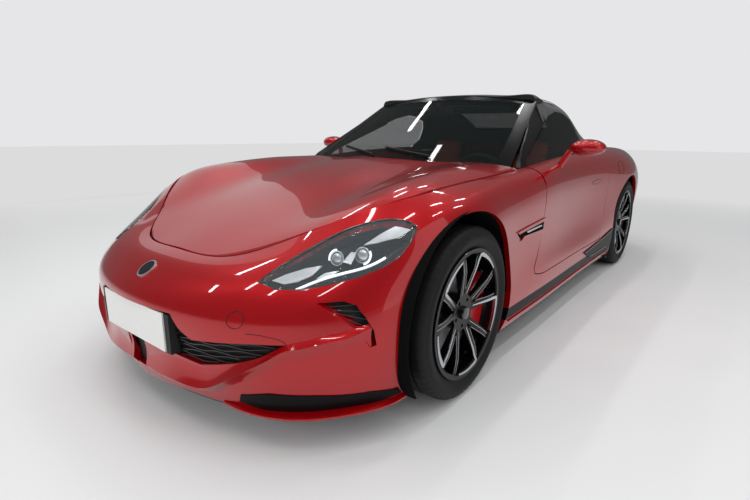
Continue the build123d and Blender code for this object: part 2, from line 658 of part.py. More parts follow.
def make_rear_suspension():
    side = arms(rear_axle_y, rear_wheel_x, rear_tyre_radius, rear_tyre_radius + post_half, 220)
    side += upright(rear_axle_y, rear_wheel_x, rear_tyre_radius)
    side += block(rear_wheel_x - 62, rear_wheel_x - 22, rear_axle_y - 135, rear_axle_y, rear_tyre_radius - 30,
                  rear_tyre_radius + 30)
    return both_sides(side - make_caliper(rear_axle_y, rear_wheel_x, rear_tyre_radius, 180))


def make_caliper(axle, wheel_x, wheel_z, angle):
    """A brake caliper that straddles the disc: angle 0 puts it behind the axle, 180 ahead of it."""
    inner = brake_disc_radius - 70
    bridge = brake_disc_radius + 6
    profile = [(-35, inner), (disc_back - 5, inner), (disc_back - 5, bridge), (disc_back + brake_disc_wall + 5, bridge),
               (disc_back + brake_disc_wall + 5, inner), (62, inner), (62, caliper_radius), (-35, caliper_radius)]
    face = make_face(Polyline(*[(x, 0, r) for x, r in profile], close=True))
    sector = revolve(face, axis=Axis.X, revolution_arc=66)
    return Pos(wheel_x, axle, wheel_z) * Rot(-90 - 33 + angle, 0, 0) * sector


def make_knuckle():
    side = upright(front_axle_y, front_wheel_x, front_tyre_radius)
    side += block(front_wheel_x - 62, front_wheel_x - 22, front_axle_y, front_axle_y + 135, front_tyre_radius - 30,
                  front_tyre_radius + 30)
    return side - make_caliper(front_axle_y, front_wheel_x, front_tyre_radius, 0)


# ---- Wheels ------------------------------------------------------------------------------------
def make_rim(tyre_width):
    """Rim, five twin spokes, hub and brake disc, centred on the origin with its face towards +X."""
    half = tyre_width / 2 - 8
    seat = bead_radius
    well = seat - 12
    profile = [(half, flange_radius), (half - 7, flange_radius), (half - 12, seat), (half - 42, seat),
               (half - 56, well), (-half + 56, well), (-half + 42, seat), (-half + 12, seat),
               (-half + 7, flange_radius), (-half, flange_radius), (-half, seat - 2),
               (-half + 40, seat - rim_wall), (-half + 58, well - rim_wall), (half - 58, well - rim_wall),
               (half - 44, seat - rim_wall), (half - 4, seat - rim_wall), (half, seat - 4)]
    rim = revolve(make_face(Polyline(*[(x, 0, r) for x, r in profile], close=True)), axis=Axis.X)
    face_x = half - 8
    hub_face = face_x - 24
    hub = rod_x(hub_radius, hub_back, hub_face, 0, 0)
    for turn in range(5):
        for lean in (-1, 1):
            arm = across([(lean * 8 - 16, 40), (lean * 60 - 12, well), (lean * 60 + 12, well), (lean * 8 + 16, 40)],
                         face_x - spoke_depth, face_x)
            hub += Rot(72 * turn, 0, 0) * arm
    cone = revolve(make_face(Polyline((hub_face, 0, 0), (hub_face, 0, hub_radius), (face_x, 0, 190),
                                      (face_x, 0, 260), (face_x + 80, 0, 260), (face_x + 80, 0, 0), close=True)),
                   axis=Axis.X)
    hub = hub - cone
    hub -= rod_x(28, face_x - 40, FAR, 0, 0)
    for turn in range(5):
        angle = radians(72 * turn + 36)
        hub -= rod_x(bolt_hole_radius, face_x - 50, FAR, bolt_circle_radius * sin(angle),
                     bolt_circle_radius * cos(angle))
    disc = rod_x(brake_disc_radius, disc_back, disc_back + brake_disc_wall, 0, 0)
    return rim + hub + disc


def make_tyre(radius, width):
    half = width / 2
    bead = half - 21
    outer = [(bead, bead_radius), (bead + 5, flange_radius + 1), (half - 5, 292), (half, 312),
             (half - 12, radius - 12), (half - 32, radius)]
    inner = [(bead - 14, bead_radius), (half - 19, 292), (half - 16, 312), (half - 30, radius - tyre_wall)]
    profile = outer + [(-x, r) for x, r in outer[::-1]] + [(-x, r) for x, r in inner] + inner[::-1]
    return revolve(make_face(Polyline(*[(x, 0, r) for x, r in profile], close=True)), axis=Axis.X)


# ---- Doors, lids and cabin ---------------------------------------------------------------------
def make_door():
    front = door_hinge_y + 40
    trim = across([(front, 365), (480, 365), (560, 620), (560, 860), (front, 860)], 745, 850)
    door = (wall(side_rows, door_skin) + trim) & (door_prism(0) & block(0, FAR, front, FAR, 0, FAR))
    door += wall(side_rows, panel_wall) & (door_prism(0) & block(0, FAR, -FAR, front, 0, FAR))
    half_gap = door_lug_wall / 2 + running_gap
    barrel = Cylinder(door_barrel_radius, door_barrel_length) - Box(60, 60, 2 * half_gap)
    door += door_hinge * barrel
    door -= door_hinge * Cylinder(door_barrel_radius + 1, 2 * half_gap)
    return door - door_hinge * Cylinder(door_pin_radius + running_gap, 2 * door_barrel_length)


def make_door_glass(door):
    return side_slab(side_glass_wall, 0, WINDOW) - door


def make_mirror(door):
    shapes = [(0, 92, 46), (43, 88, 44), (74, 64, 33), (92, 26, 14)]
    rings = [Plane.XZ.offset(ahead) * Ellipse(width, height) for ahead, width, height in shapes]
    body = Pos(968, -122, 982) * Rot(0, 0, 12) * Solid.make_loft([ring.face().outer_wire() for ring in rings])
    foot = rod((885, -165, 965), (838, -190, 870), 17)
    return (body + foot) - door


def make_windscreen_frame():
    frame = wall(screen_rows(1.0, -0.2, 1.0), screen_frame_wall)
    frame -= wall(screen_opening, screen_frame_wall + 80, -40)
    cheek = side_slab(28, 0, [(-600, 860), (-484, 860), (-484, 912), (100, 1137), (20, 1250), (-540, 918)])
    frame += cheek
    frame += mirror(cheek, about=Plane.YZ)
    return frame & block(-FAR, FAR, -FAR, FAR, cowl_top, FAR)


def make_windscreen():
    return wall(screen_opening, screen_glass_wall) & block(-FAR, FAR, -FAR, FAR, cowl_top, FAR)


def make_soft_top(frame, deck):
    shell = wall(soft_top_columns(), soft_top_wall)
    header = [(x, -60 + 80 * (x / 600) ** 2) for x in range(-900, 901, 150)]
    shell -= upward([*header, (900, -FAR), (-900, -FAR)], 800, 1500)
    opening = make_face(Polyline(*[(0, y, z) for y, z in WINDOW], close=True))
    opening = extrude(Pos(450, 0, 0) * offset(opening, amount=shut_gap, kind=Kind.INTERSECTION), amount=FAR,
                      dir=(1, 0, 0))
    opening += block(450, FAR, -FAR, 641, 0, 957)
    shell -= opening
    shell -= mirror(opening, about=Plane.YZ)
    shell -= rear_glass_cut()
    return shell - frame - deck - tail_shell


def rear_glass_cut():
    return along([(-330, 1110), (330, 1110), (360, 1230), (-360, 1230)], 700, 1200)


def make_rear_window():
    return wall(soft_top_columns(), 5) & rear_glass_cut()


def make_seats():
    profile = [(-70, floor_top + floor_wall), (420, floor_top + floor_wall), (505, 340), (735, 950), (712, 1005),
               (650, 1008), (612, 950), (400, 445), (-50, 455), (-85, 400)]
    seat = across(profile, seat_centre_x - seat_width / 2, seat_centre_x + seat_width / 2)
    return both_sides(seat)


def make_dashboard():
    shelf = cowl_top - 14
    dash = across([(-600, 640), (-420, 600), (-335, 680), (-345, 800), (-430, 852), (-560, shelf), (-600, shelf)],
                  -690, 690)
    column_end = wheel_centre - column_axis * (40 + running_gap)
    column_root = wheel_centre - column_axis * 300
    return dash + rod(tuple(column_root), tuple(column_end), 30)


def make_centre_console():
    floor = floor_top + floor_wall
    return across([(-620, floor), (520, floor), (520, 470), (300, 520), (-250, 540), (-420, 598), (-560, 598)], -95, 95)


def make_steering_wheel():
    """Ring, three spokes and hub in the wheel's own plane, then set at the column's angle."""
    ring = Solid.make_torus(wheel_ring_radius, wheel_ring_section)
    hub = Pos(0, 0, -20) * Cylinder(wheel_hub_radius, 40)
    wheel = ring + hub
    for angle in (0, 180, 270):
        spoke = Pos(wheel_ring_radius / 2, 0, -6) * Box(wheel_ring_radius, 34, 12)
        wheel += Rot(0, 0, angle) * spoke
    return Plane(origin=wheel_centre, x_dir=(1, 0, 0), z_dir=column_axis) * wheel


def make_number_plates():
    front = block(-220, 220, plate_y - 6, plate_y, 310, 450)
    rear = block(-220, 220, rear_plate_y, rear_plate_y + 6, 505, 645)
    return Compound(children=[front, rear])


# ---- Build -------------------------------------------------------------------------------------
def build():
    """Every node of the car by name."""
    deck = make_rear_deck()
    frame = make_windscreen_frame()
    glass = make_windscreen()
    door = make_door()
    parts = {
        "front_bumper": make_front_bumper(),
        "front_fenders": make_front_fenders(),
        "rear_body": make_rear_body(),
        "side_sills": make_side_sills(),
        "bonnet": make_bonnet(),
        "boot_lid": make_boot_lid(),
        "rear_deck": deck,
        "windscreen_frame": frame,
        "cowl_panel": make_cowl_panel(),
        "windscreen": glass,
        "soft_top": make_soft_top(frame, deck),
        "rear_window": make_rear_window(),
        "headlamps": make_headlamps(),
        "tail_lamps": make_tail_lamps(),
        "front_grille": make_front_grille(),
        "front_splitter": make_front_splitter(),
        "rear_diffuser": make_rear_diffuser(),
        "number_plates": make_number_plates(),
        "battery_pack": make_battery_pack(),
        "floor_pan": make_floor_pan(),
        "wheel_liners": make_wheel_liners(),
        "drive_units": make_drive_units(),
        "front_suspension": make_front_suspension(),
        "rear_suspension": make_rear_suspension(),
        "rear_calipers": both_sides(make_caliper(rear_axle_y, rear_wheel_x, rear_tyre_radius, 180)),
        "seats": make_seats(),
        "dashboard": make_dashboard(),
        "centre_console": make_centre_console(),
        "steering_wheel": make_steering_wheel(),
    }
    left_hand = {
        "door": door,
        "door_glass": make_door_glass(door),
        "mirror": make_mirror(door),
        "knuckle": make_knuckle(),
        "front_caliper": make_caliper(front_axle_y, front_wheel_x, front_tyre_radius, 0),
        "front_rim": Pos(front_wheel_x, front_axle_y, front_tyre_radius) * make_rim(front_tyre_width),
        "front_tyre": Pos(front_wheel_x, front_axle_y, front_tyre_radius) * make_tyre(front_tyre_radius,
                                                                                    front_tyre_width),
        "rear_rim": Pos(rear_wheel_x, rear_axle_y, rear_tyre_radius) * make_rim(rear_tyre_width),
        "rear_tyre": Pos(rear_wheel_x, rear_axle_y, rear_tyre_radius) * make_tyre(rear_tyre_radius, rear_tyre_width),
    }
    for name, piece in left_hand.items():
        parts[name + "_left"] = piece
        parts[name + "_right"] = mirror(piece, about=Plane.YZ)
    return parts


os.makedirs("parts", exist_ok=True)
for name, piece in build().items():
    export_step(piece, "parts/" + name + ".step")
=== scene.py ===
# %% [markdown]
# # Electric roadster, soft top up
# A low two-seat car with its cloth roof closed. Its solids come in as the frame, already at their real
# size and place, and are never moved. They could be shown as they are, but they are loose triangles with
# no finish. So each panel is a copy of its solid with smooth normals and a material, and what is too fine
# for the solids, such as lamps' insides, seams and tread, is modelled here on the same body skin.
# Everything is in metres: +X is the car's left, the nose points to -Y, +Z is up.

# %% Load the frame
import json
import math

import bmesh
import bpy
import numpy as np
from mathutils import Matrix, Vector
from mathutils.bvhtree import BVHTree
from mathutils.geometry import delaunay_2d_cdt

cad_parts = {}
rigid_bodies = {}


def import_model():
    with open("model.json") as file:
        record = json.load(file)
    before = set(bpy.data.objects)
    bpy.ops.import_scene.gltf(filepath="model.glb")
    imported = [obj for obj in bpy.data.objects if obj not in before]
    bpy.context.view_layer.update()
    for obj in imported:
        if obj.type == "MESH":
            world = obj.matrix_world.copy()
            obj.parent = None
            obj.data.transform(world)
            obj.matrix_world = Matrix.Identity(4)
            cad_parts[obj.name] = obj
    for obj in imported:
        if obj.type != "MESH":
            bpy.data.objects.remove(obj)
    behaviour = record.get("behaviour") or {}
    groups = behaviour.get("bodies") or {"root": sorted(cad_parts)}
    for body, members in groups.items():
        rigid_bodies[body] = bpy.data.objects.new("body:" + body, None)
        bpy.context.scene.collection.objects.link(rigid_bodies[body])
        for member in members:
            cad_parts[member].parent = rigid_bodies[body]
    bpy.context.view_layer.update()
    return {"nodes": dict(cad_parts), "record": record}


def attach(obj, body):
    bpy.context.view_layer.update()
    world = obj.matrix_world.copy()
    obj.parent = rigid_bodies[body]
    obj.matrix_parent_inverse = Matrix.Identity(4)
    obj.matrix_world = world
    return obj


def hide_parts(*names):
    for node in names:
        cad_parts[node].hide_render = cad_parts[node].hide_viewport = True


for thing in list(bpy.data.objects):
    bpy.data.objects.remove(thing)
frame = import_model()
nodes = frame["nodes"]
body_of = {name: body for body, members in frame["record"]["behaviour"]["bodies"].items() for name in members}
BOTH_SIDES = (("left", 1), ("right", -1))  # the sign turns a left-hand X place into the right-hand one

# %% [markdown]
# ## Camera
# A low, close viewpoint ahead of a front wheel makes a sports car's nose look wide. A camera could be
# aimed by a constraint at an empty. Three angles turned into its axes are exact instead, and need no
# second object.

# %% Camera
LENS, SENSOR_WIDTH = 22.48, 36  # mm
CAMERA_PLACE = (1.70632, -2.96989, 1.04423)
yaw, pitch, roll = 0.670409, 0.241639, 0.007967
forward = Vector((-math.sin(yaw) * math.cos(pitch), math.cos(yaw) * math.cos(pitch), -math.sin(pitch)))
right = Vector((math.cos(yaw), math.sin(yaw), 0))
up = right.cross(forward)
right, up = math.cos(roll) * right + math.sin(roll) * up, math.cos(roll) * up - math.sin(roll) * right
camera = bpy.data.objects.new("camera", bpy.data.cameras.new("camera"))
camera.data.sensor_width = SENSOR_WIDTH
camera.data.lens = LENS
camera_axes = Matrix((right, up, -forward)).transposed().to_4x4()
camera.matrix_world = Matrix.Translation(CAMERA_PLACE) @ camera_axes
bpy.context.scene.collection.objects.link(camera)
bpy.context.scene.camera = camera
print("camera", round(CAMERA_PLACE[2], 2), "m up, lens", LENS, "mm")

# %% [markdown]
# ## Materials
# Real finishes are never one flat colour: paint has flakes, leather has grain, plastic is moulded with a
# texture. Pictures of such surfaces could be wrapped on. Patterns worked out from each point's place need
# no image and no unwrapping, and they stay sharp close up, so one function builds every finish from them.
# Colours are written as they look on screen and turned to linear light.

# %% Colour, nodes and finishes
COAT_ROUGHNESS = 0.03  # lacquer is nearly a mirror
BUMP_HEIGHT = 0.001  # metres from the lowest to the highest point of a grain


def colour(code):
    """A screen colour such as C01420, as linear RGBA."""
    parts = [int(code[i:i + 2], 16) / 255 for i in (0, 2, 4)]
    return (*[p / 12.92 if p <= 0.04045 else ((p + 0.055) / 1.055) ** 2.4 for p in parts], 1)


def add(material, kind, inputs=(), **settings):
    """Adds one shader node; inputs maps a socket's name or number to a value or to another socket."""
    node = material.node_tree.nodes.new(kind)
    for key, value in settings.items():
        setattr(node, key, value)
    for key, value in dict(inputs).items():
        if isinstance(value, bpy.types.NodeSocket):
            material.node_tree.links.new(value, node.inputs[key])
        else:
            node.inputs[key].default_value = value
    return node


def finish(name, base, roughness, metallic=0.0, coat=0.0, vary=0.0, patch_mm=125, bump=0.0, grain_mm=2.5,
           kind="noise", **sockets):
    """A material that varies in patches and has a fine bump of noise, cells or a weave, sizes in millimetres.

    Most real grain is finer than a pixel of the render, so it is drawn two to five times too coarse.
    """
    patches, grain = round(1000 / patch_mm), round(1000 / grain_mm, -1)
    material = bpy.data.materials.new(name)
    material.use_nodes = True
    material.node_tree.nodes.clear()
    where = add(material, "ShaderNodeTexCoord").outputs["Object"]
    shader = add(material, "ShaderNodeBsdfPrincipled", {"Roughness": roughness, "Metallic": metallic,
                                                        "Coat Weight": coat,
                                                        "Coat Roughness": COAT_ROUGHNESS})
    link = material.node_tree.links.new
    cloud = add(material, "ShaderNodeTexNoise", {"Vector": where, "Scale": patches, "Detail": 4.0})
    dark = tuple(c * (1 - vary) for c in colour(base)[:3]) + (1,)
    light = tuple(min(1.0, c * (1 + vary)) for c in colour(base)[:3]) + (1,)
    mix = add(material, "ShaderNodeMix", {0: cloud.outputs["Fac"], 6: dark, 7: light}, data_type="RGBA")
    link(mix.outputs[2], shader.inputs["Base Color"])
    if bump:
        if kind == "cells":
            detail = add(material, "ShaderNodeTexVoronoi",
                         {"Vector": where, "Scale": grain}).outputs["Distance"]
        elif kind == "weave":
            warp, weft = [add(material, "ShaderNodeTexWave",
                              {"Vector": where, "Scale": grain, "Distortion": 0.4},
                              bands_direction=axis).outputs["Fac"] for axis in ("X", "Y")]
            detail = add(material, "ShaderNodeMath", {0: warp, 1: weft}, operation="MULTIPLY").outputs[0]
        else:
            fine = {"Vector": where, "Scale": grain, "Detail": 6.0}
            detail = add(material, "ShaderNodeTexNoise", fine).outputs["Fac"]
        normal = add(material, "ShaderNodeBump",
                     {"Height": detail, "Strength": bump, "Distance": BUMP_HEIGHT})
        link(normal.outputs["Normal"], shader.inputs["Normal"])
    for socket, value in sockets.items():
        shader.inputs[socket.replace("_", " ")].default_value = value
    out = add(material, "ShaderNodeOutputMaterial")
    link(shader.outputs[0], out.inputs[0])
    return material


# %% [markdown]
# ### Paint and plastics
# Body panels are sprayed in layers: a tinted metallic base under clear lacquer. A plain glossy red would
# look like a toy, so a half-metallic base gives the deep tone and a coat gives the sharp glints. The
# plastics are injection moulded, polished or with a grain in the mould.

# %% Paint and plastics
# sprayed flake base under lacquer: deep red, brighter where it faces the light, with hard glints on top
paint = finish("candy red metallic paint", "B0000C", 0.34, metallic=0.5, coat=1.0, vary=0.03, patch_mm=500,
               bump=0.02, grain_mm=0.667, kind="cells", Specular_IOR_Level=0.2)
# lacquered ABS: black like still water, with clear reflections
piano_black = finish("piano black plastic", "0C0D0F", 0.12, coat=0.8, vary=0.05)
# enamelled pressing round the screen: dark, with a soft sheen only
frame_black = finish("satin black screen frame", "060607", 0.2, vary=0.05, Specular_IOR_Level=0.12)
# smooth polypropylene low on the body: flat black that doesn't mirror the floor
sill_black = finish("satin black sill plastic", "0B0B0D", 0.38, vary=0.05, Specular_IOR_Level=0.12)
# needled felt in the wheel arches: swallows nearly all light
arch_felt = finish("black arch felt", "0C0C0D", 0.95, vary=0.2, bump=0.5, grain_mm=3.33,
                   Specular_IOR_Level=0.1)
# polypropylene with a leather grain from its mould: grey glints broken into specks
grained_black = finish("grained black plastic", "17181A", 0.55, vary=0.15, bump=0.35, grain_mm=1.11,
                       kind="cells")
# pressed aluminium plate blank with white film: even and slightly glossy
plate_white = finish("blank white plate", "E6E7E4", 0.35, coat=0.3, vary=0.02, patch_mm=16.7)
print("paint and plastics:", len(bpy.data.materials), "materials so far")

# %% [markdown]
# ### Cloth, rubber and leather
# The roof is acrylic cloth woven from dyed yarn, the seals and tyres are moulded rubber, and the trim is
# leather with pores. Cloth could be modelled thread by thread, which would need millions of faces. Two
# crossed waves as bump give the same broken light.

# %% Cloth, rubber and leather
# woven acrylic yarn, drawn at 2.4 mm a thread instead of 0.5 mm: matt, with a faint light edge
canvas = finish("black roof canvas", "151618", 0.9, vary=0.22, patch_mm=33, bump=0.5, grain_mm=2.38,
                kind="weave", Sheen_Weight=0.25)
# moulded rubber: dull, a little dusty
seal_rubber = finish("seal rubber", "111213", 0.7, vary=0.2, bump=0.2, grain_mm=1.43)
# vulcanized tread compound: grey-black with a low, wide shine on its shoulder
tyre_rubber = finish("tyre rubber", "121213", 0.62, vary=0.2, patch_mm=50, bump=0.25, grain_mm=1.67,
                     Specular_IOR_Level=0.3)
# tanned and dyed hide with pores: warm, with small soft highlights
tan_leather = finish("tan orange leather", "A9491F", 0.5, vary=0.08, patch_mm=83, bump=0.35, grain_mm=1.92,
                     kind="cells")
dark_leather = finish("dark stitched leather", "241F1E", 0.55, vary=0.1, bump=0.35, grain_mm=1.92,
                      kind="cells")
print("cloth, rubber and leather:", len(bpy.data.materials), "materials so far")

# %% [markdown]
# ### Glass and lamps
# Car glass is tinted in the melt, and lamp lenses are clear polycarbonate. Full refraction is the true way
# to render them, but thin panes bend light so little that a share of see-through with a smooth face looks
# the same and renders with far less noise.

# %% Glass and lamps
# float glass with a green-grey tint: sharp reflections over a darkened view inside
window_glass = finish("tinted window glass", "141B1A", 0.01, vary=0.02, Alpha=0.38)
privacy_glass = finish("privacy glass", "0E1213", 0.02, vary=0.02, Alpha=0.7)
# moulded polycarbonate: almost only its glints show
lamp_glass = finish("clear lamp lens", "AEB8BE", 0.0, vary=0.01, Alpha=0.07)
# plastic with vapour-plated aluminium: a soft silver that lights up inside the lamp
lamp_chrome = finish("bright lamp reflector", "E6EAEE", 0.28, metallic=0.85, vary=0.06, patch_mm=25)
# frosted light guides: they glow a little, so that they read as lamps at any angle
lamp_light = finish("white light guide", "F2F6FA", 0.3, vary=0.02, Emission_Color=colour("E8F1FF"),
                    Emission_Strength=0.8)
red_light = finish("red light guide", "E02430", 0.25, vary=0.03, Emission_Color=colour("FF2A30"),
                   Emission_Strength=0.7)
# red acrylic over a dark housing: nearly black until light falls into it; its faint red emission is a painted
# glow that stands in for that light, also on the rear reflectors, which are no lamps
red_lens_painted_glow = finish("red lens with painted glow", "4A0409", 0.08, coat=0.8, vary=0.1, patch_mm=16.7,
                  Emission_Color=colour("B01018"), Emission_Strength=0.12)
# display cover glass: black and glossy while the screens are off
screen_face = finish("display glass", "08090B", 0.06, coat=0.8, vary=0.02)
# silvered glass: a plain mirror
mirror_silver = finish("mirror glass", "C8D0D6", 0.02, metallic=1.0, vary=0.01)
print("glass and lamps:", len(bpy.data.materials), "materials so far")

# %% [markdown]
# ### Metals
# Bare metal shows by its reflections alone: metallic is 1 and roughness says how it was worked. Painted or
# coated metal is a plain colour with a coat, because its paint is what the eye meets.

# %% Metals
# gloss enamel on cast wheels: black with narrow highlights
alloy_black = finish("gloss black alloy", "08080A", 0.24, coat=0.12, vary=0.06, Specular_IOR_Level=0.2)
# diamond-turned face of the same casting: bright, with fine cutting lines
alloy_silver = finish("machined alloy", "C9CCD0", 0.24, metallic=1.0, vary=0.05, patch_mm=11.1, bump=0.1,
                      grain_mm=0.77)
# ground cast iron, polished by the pads: grey with a satin band
disc_steel = finish("brake disc steel", "8F9194", 0.33, metallic=1.0, vary=0.1, patch_mm=16.7, bump=0.2,
                    grain_mm=1)
# baked enamel on a casting: an even bright red
caliper_red = finish("red caliper enamel", "C3121C", 0.28, coat=0.7, vary=0.05, bump=0.1, grain_mm=3.33)
# forged links with a thin black coating: dark, slightly metallic
steel = finish("black coated steel", "3A3C3E", 0.5, metallic=0.7, vary=0.15, bump=0.3, grain_mm=3.33)
# sand-cast housings: rough pale grey
cast_alloy = finish("cast aluminium", "86898C", 0.5, metallic=0.8, vary=0.1, bump=0.4, grain_mm=4)
# sprayed stone guard under the floor: coarse and matt
underbody = finish("dark undercoat", "232425", 0.75, vary=0.2, bump=0.6, grain_mm=4.55)
print("metals:", len(bpy.data.materials), "materials so far")

# %% [markdown]
# ## Body skin
# A car's body is one flowing surface that is cut into panels. The solids' triangles could be smoothed by a
# modifier, but that would round the panel gaps as well. Instead, a smooth surface through the same
# cross-sections as the solids is worked out once. Panels take their normals from it, and small pieces are
# laid on it, so that highlights run on from panel to panel.

# %% Cross-sections of the body, in millimetres
# nose: from the middle to the fender; each point is (x, y from the front axle, z), from the top down
NOSE = [
    [(0, -698, 608), (0, -767, 585), (0, -827, 550), (0, -883, 505), (0, -905, 455), (0, -888, 300),
     (0, -838, 140)],
    [(260, -673, 612), (270, -738, 588), (280, -798, 550), (285, -847, 505), (285, -872, 455),
     (280, -858, 300), (270, -812, 140)],
    [(460, -522, 680), (520, -607, 630), (560, -678, 575), (590, -727, 510), (600, -747, 450),
     (600, -742, 300), (580, -707, 140)],
    [(640, -357, 775), (720, -418, 700), (770, -468, 620), (800, -498, 540), (815, -512, 450),
     (820, -512, 300), (800, -488, 140)],
    [(770, -167, 830), (845, -198, 775), (890, -218, 700), (905, -228, 600), (910, -238, 470),
     (905, -238, 310), (890, -238, 150)],
]
FRONT_AXLE, REAR_AXLE = -1362.5, 1327.5
# sides: (axle, y from it, then seven points (x, z) from the top down)
SIDES = [
    (FRONT_AXLE, 62, (790, 850), (865, 820), (915, 765), (935, 660), (930, 500), (920, 320), (900, 170)),
    (FRONT_AXLE, 442, (790, 865), (860, 835), (900, 760), (905, 630), (905, 470), (915, 320), (905, 180)),
    (FRONT_AXLE, 802, (785, 885), (855, 860), (895, 790), (895, 650), (895, 480), (920, 330), (910, 180)),
    (FRONT_AXLE, 1262, (775, 915), (845, 885), (885, 800), (880, 650), (885, 480), (920, 330), (910, 180)),
    (REAR_AXLE, -878, (760, 935), (850, 905), (895, 810), (890, 650), (895, 480), (925, 330), (910, 180)),
    (REAR_AXLE, -428, (740, 945), (850, 920), (915, 830), (925, 670), (925, 500), (935, 340), (920, 190)),
    (REAR_AXLE, 2, (720, 955), (840, 925), (925, 840), (956.5, 700), (955, 520), (945, 350), (930, 200)),
    (REAR_AXLE, 422, (700, 945), (810, 905), (885, 820), (925, 690), (925, 530), (910, 370), (890, 220)),
]
# tail: from the corner to the middle; each point is (x, y from the rear axle, z), from the top down
TAIL = [
    [(640, 733, 930), (720, 773, 880), (770, 798, 790), (800, 802, 670), (800, 793, 530), (780, 762, 380),
     (760, 722, 228)],
    [(400, 842, 925), (420, 908, 870), (435, 923, 780), (440, 918, 670), (440, 903, 530), (430, 873, 380),
     (420, 822, 228)],
    [(0, 862, 925), (0, 930, 870), (0, 940, 780), (0, 935, 670), (0, 923, 530), (0, 893, 380), (0, 842, 240)],
]
# bonnet and deck: (y from the axle, then the heights at the places across in BONNET_X and DECK_X)
BONNET_X = (0, 200, 420, 620, 790, 900)
BONNET = [
    (-788, 575, 572, 560, 520, 450, 380), (-638, 632, 630, 630, 600, 550, 500),
    (-438, 705, 705, 715, 725, 660, 600),
    (-188, 780, 778, 785, 835, 815, 720), (62, 840, 838, 835, 880, 850, 780),
    (362, 890, 888, 880, 903, 865, 800),
    (612, 920, 915, 905, 905, 875, 810), (862, 935, 930, 920, 910, 885, 820),
]
DECK_X = (0, 250, 500, 700, 850)
DECK = [
    (-330, 1000, 995, 975, 950, 915), (-128, 985, 983, 972, 957, 925), (122, 975, 972, 965, 955, 915),
    (422, 962, 960, 955, 945, 890), (672, 945, 944, 941, 925, 860), (872, 925, 925, 922, 900, 840),
]
print("sections:", len(NOSE) + len(SIDES) + len(TAIL))

# %% Smooth curves and surfaces through the sections
MM = 1000  # millimetres in a metre
LONG_RAY = 1.5  # a ray that misses a skin takes the point nearest to this far along it


def smooth(places, values, at):
    """Natural cubic curve through values at the given places, read at other places."""
    n = len(places)
    gap = np.diff(places)
    slope = np.diff(values, axis=0) / gap.reshape(-1, *[1] * (values.ndim - 1))
    system = np.eye(n)
    side = np.zeros_like(values)
    for i in range(1, n - 1):
        system[i, i - 1:i + 2] = gap[i - 1], 2 * (gap[i - 1] + gap[i]), gap[i]
        side[i] = 6 * (slope[i] - slope[i - 1])
    bend = np.linalg.solve(system, side.reshape(n, -1)).reshape(values.shape)
    k = np.clip(np.searchsorted(places, at) - 1, 0, n - 2)
    shape = (-1, *[1] * (values.ndim - 1))
    h, a, b = gap[k].reshape(shape), (places[k + 1] - at).reshape(shape), (at - places[k]).reshape(shape)
    cubic = (bend[k] * a ** 3 + bend[k + 1] * b ** 3) / (6 * h)
    return cubic + (values[k] / h - bend[k] * h / 6) * a + (values[k + 1] / h - bend[k + 1] * h / 6) * b


def skin_grid(rows, along, across):
    """A dense grid of points over rows of points."""
    rows = np.array(rows, float)
    steps = np.linalg.norm(np.diff(rows, axis=0), axis=2).mean(axis=1)
    places = np.concatenate([[0], np.cumsum(steps)])
    dense = smooth(places, rows, np.linspace(0, places[-1], along))
    gaps = np.linalg.norm(np.diff(rows, axis=1), axis=2).mean(axis=0)
    places = np.concatenate([[0], np.cumsum(gaps)])
    return smooth(places, dense.transpose(1, 0, 2), np.linspace(0, places[-1], across)).transpose(1, 0, 2)


class Skin:
    """A smooth surface that gives the nearest normal and the point below, ahead of or beside a place."""

    def __init__(self, rows, along=160, across=60):
        points = skin_grid(rows, along, across) / MM
        du = np.gradient(points, axis=0)
        dv = np.gradient(points, axis=1)
        normals = np.cross(dv, du)
        normals /= np.linalg.norm(normals, axis=2, keepdims=True) + 1e-12
        self.normals = normals.reshape(-1, 3)
        self.points = points.reshape(-1, 3)
        i, j = np.meshgrid(np.arange(along - 1), np.arange(across - 1), indexing="ij")
        a = (i * across + j).ravel()
        upper = np.stack([a, a + 1, a + across], 1)
        lower = np.stack([a + 1, a + across + 1, a + across], 1)
        self.faces = np.concatenate([upper, lower])
        self.tree = BVHTree.FromPolygons(self.points.tolist(), self.faces.tolist())

    def blend(self, place, index):
        """The surface's smooth normal at a place on one of its faces."""
        a, b, c = self.faces[index]
        pa, pb, pc, p = (self.points[a], self.points[b], self.points[c], np.array(place))
        areas = [np.linalg.norm(np.cross(pb - p, pc - p)), np.linalg.norm(np.cross(pc - p, pa - p)),
                 np.linalg.norm(np.cross(pa - p, pb - p))]
        normal = sum(w * self.normals[k] for w, k in zip(areas, (a, b, c)))
        return Vector(normal).normalized()

    def near(self, place):
        """The normal at the skin's point nearest to a place, and how far away that point is."""
        spot, _, index, distance = self.tree.find_nearest(Vector(place))
        return self.blend(spot, index), distance

    def cast(self, origin, direction):
        """The point and the normal where a ray meets the skin."""
        spot, _, index, _ = self.tree.ray_cast(Vector(origin), Vector(direction))
        if spot is None:
            spot, _, index, _ = self.tree.find_nearest(Vector(origin) + Vector(direction) * LONG_RAY)
        return spot, self.blend(spot, index)


def mirrored(points):
    """The same points on the other side of the car."""
    return [(-x, y, z) for x, y, z in points]


def top_rows(table, columns, axle):
    """Rows of points right across the car from a table of heights."""
    rows = []
    for y, *heights in table:
        left = [(x, axle + y, z) for x, z in zip(columns, heights)]
        rows.append(mirrored(left[:0:-1]) + left)
    return rows

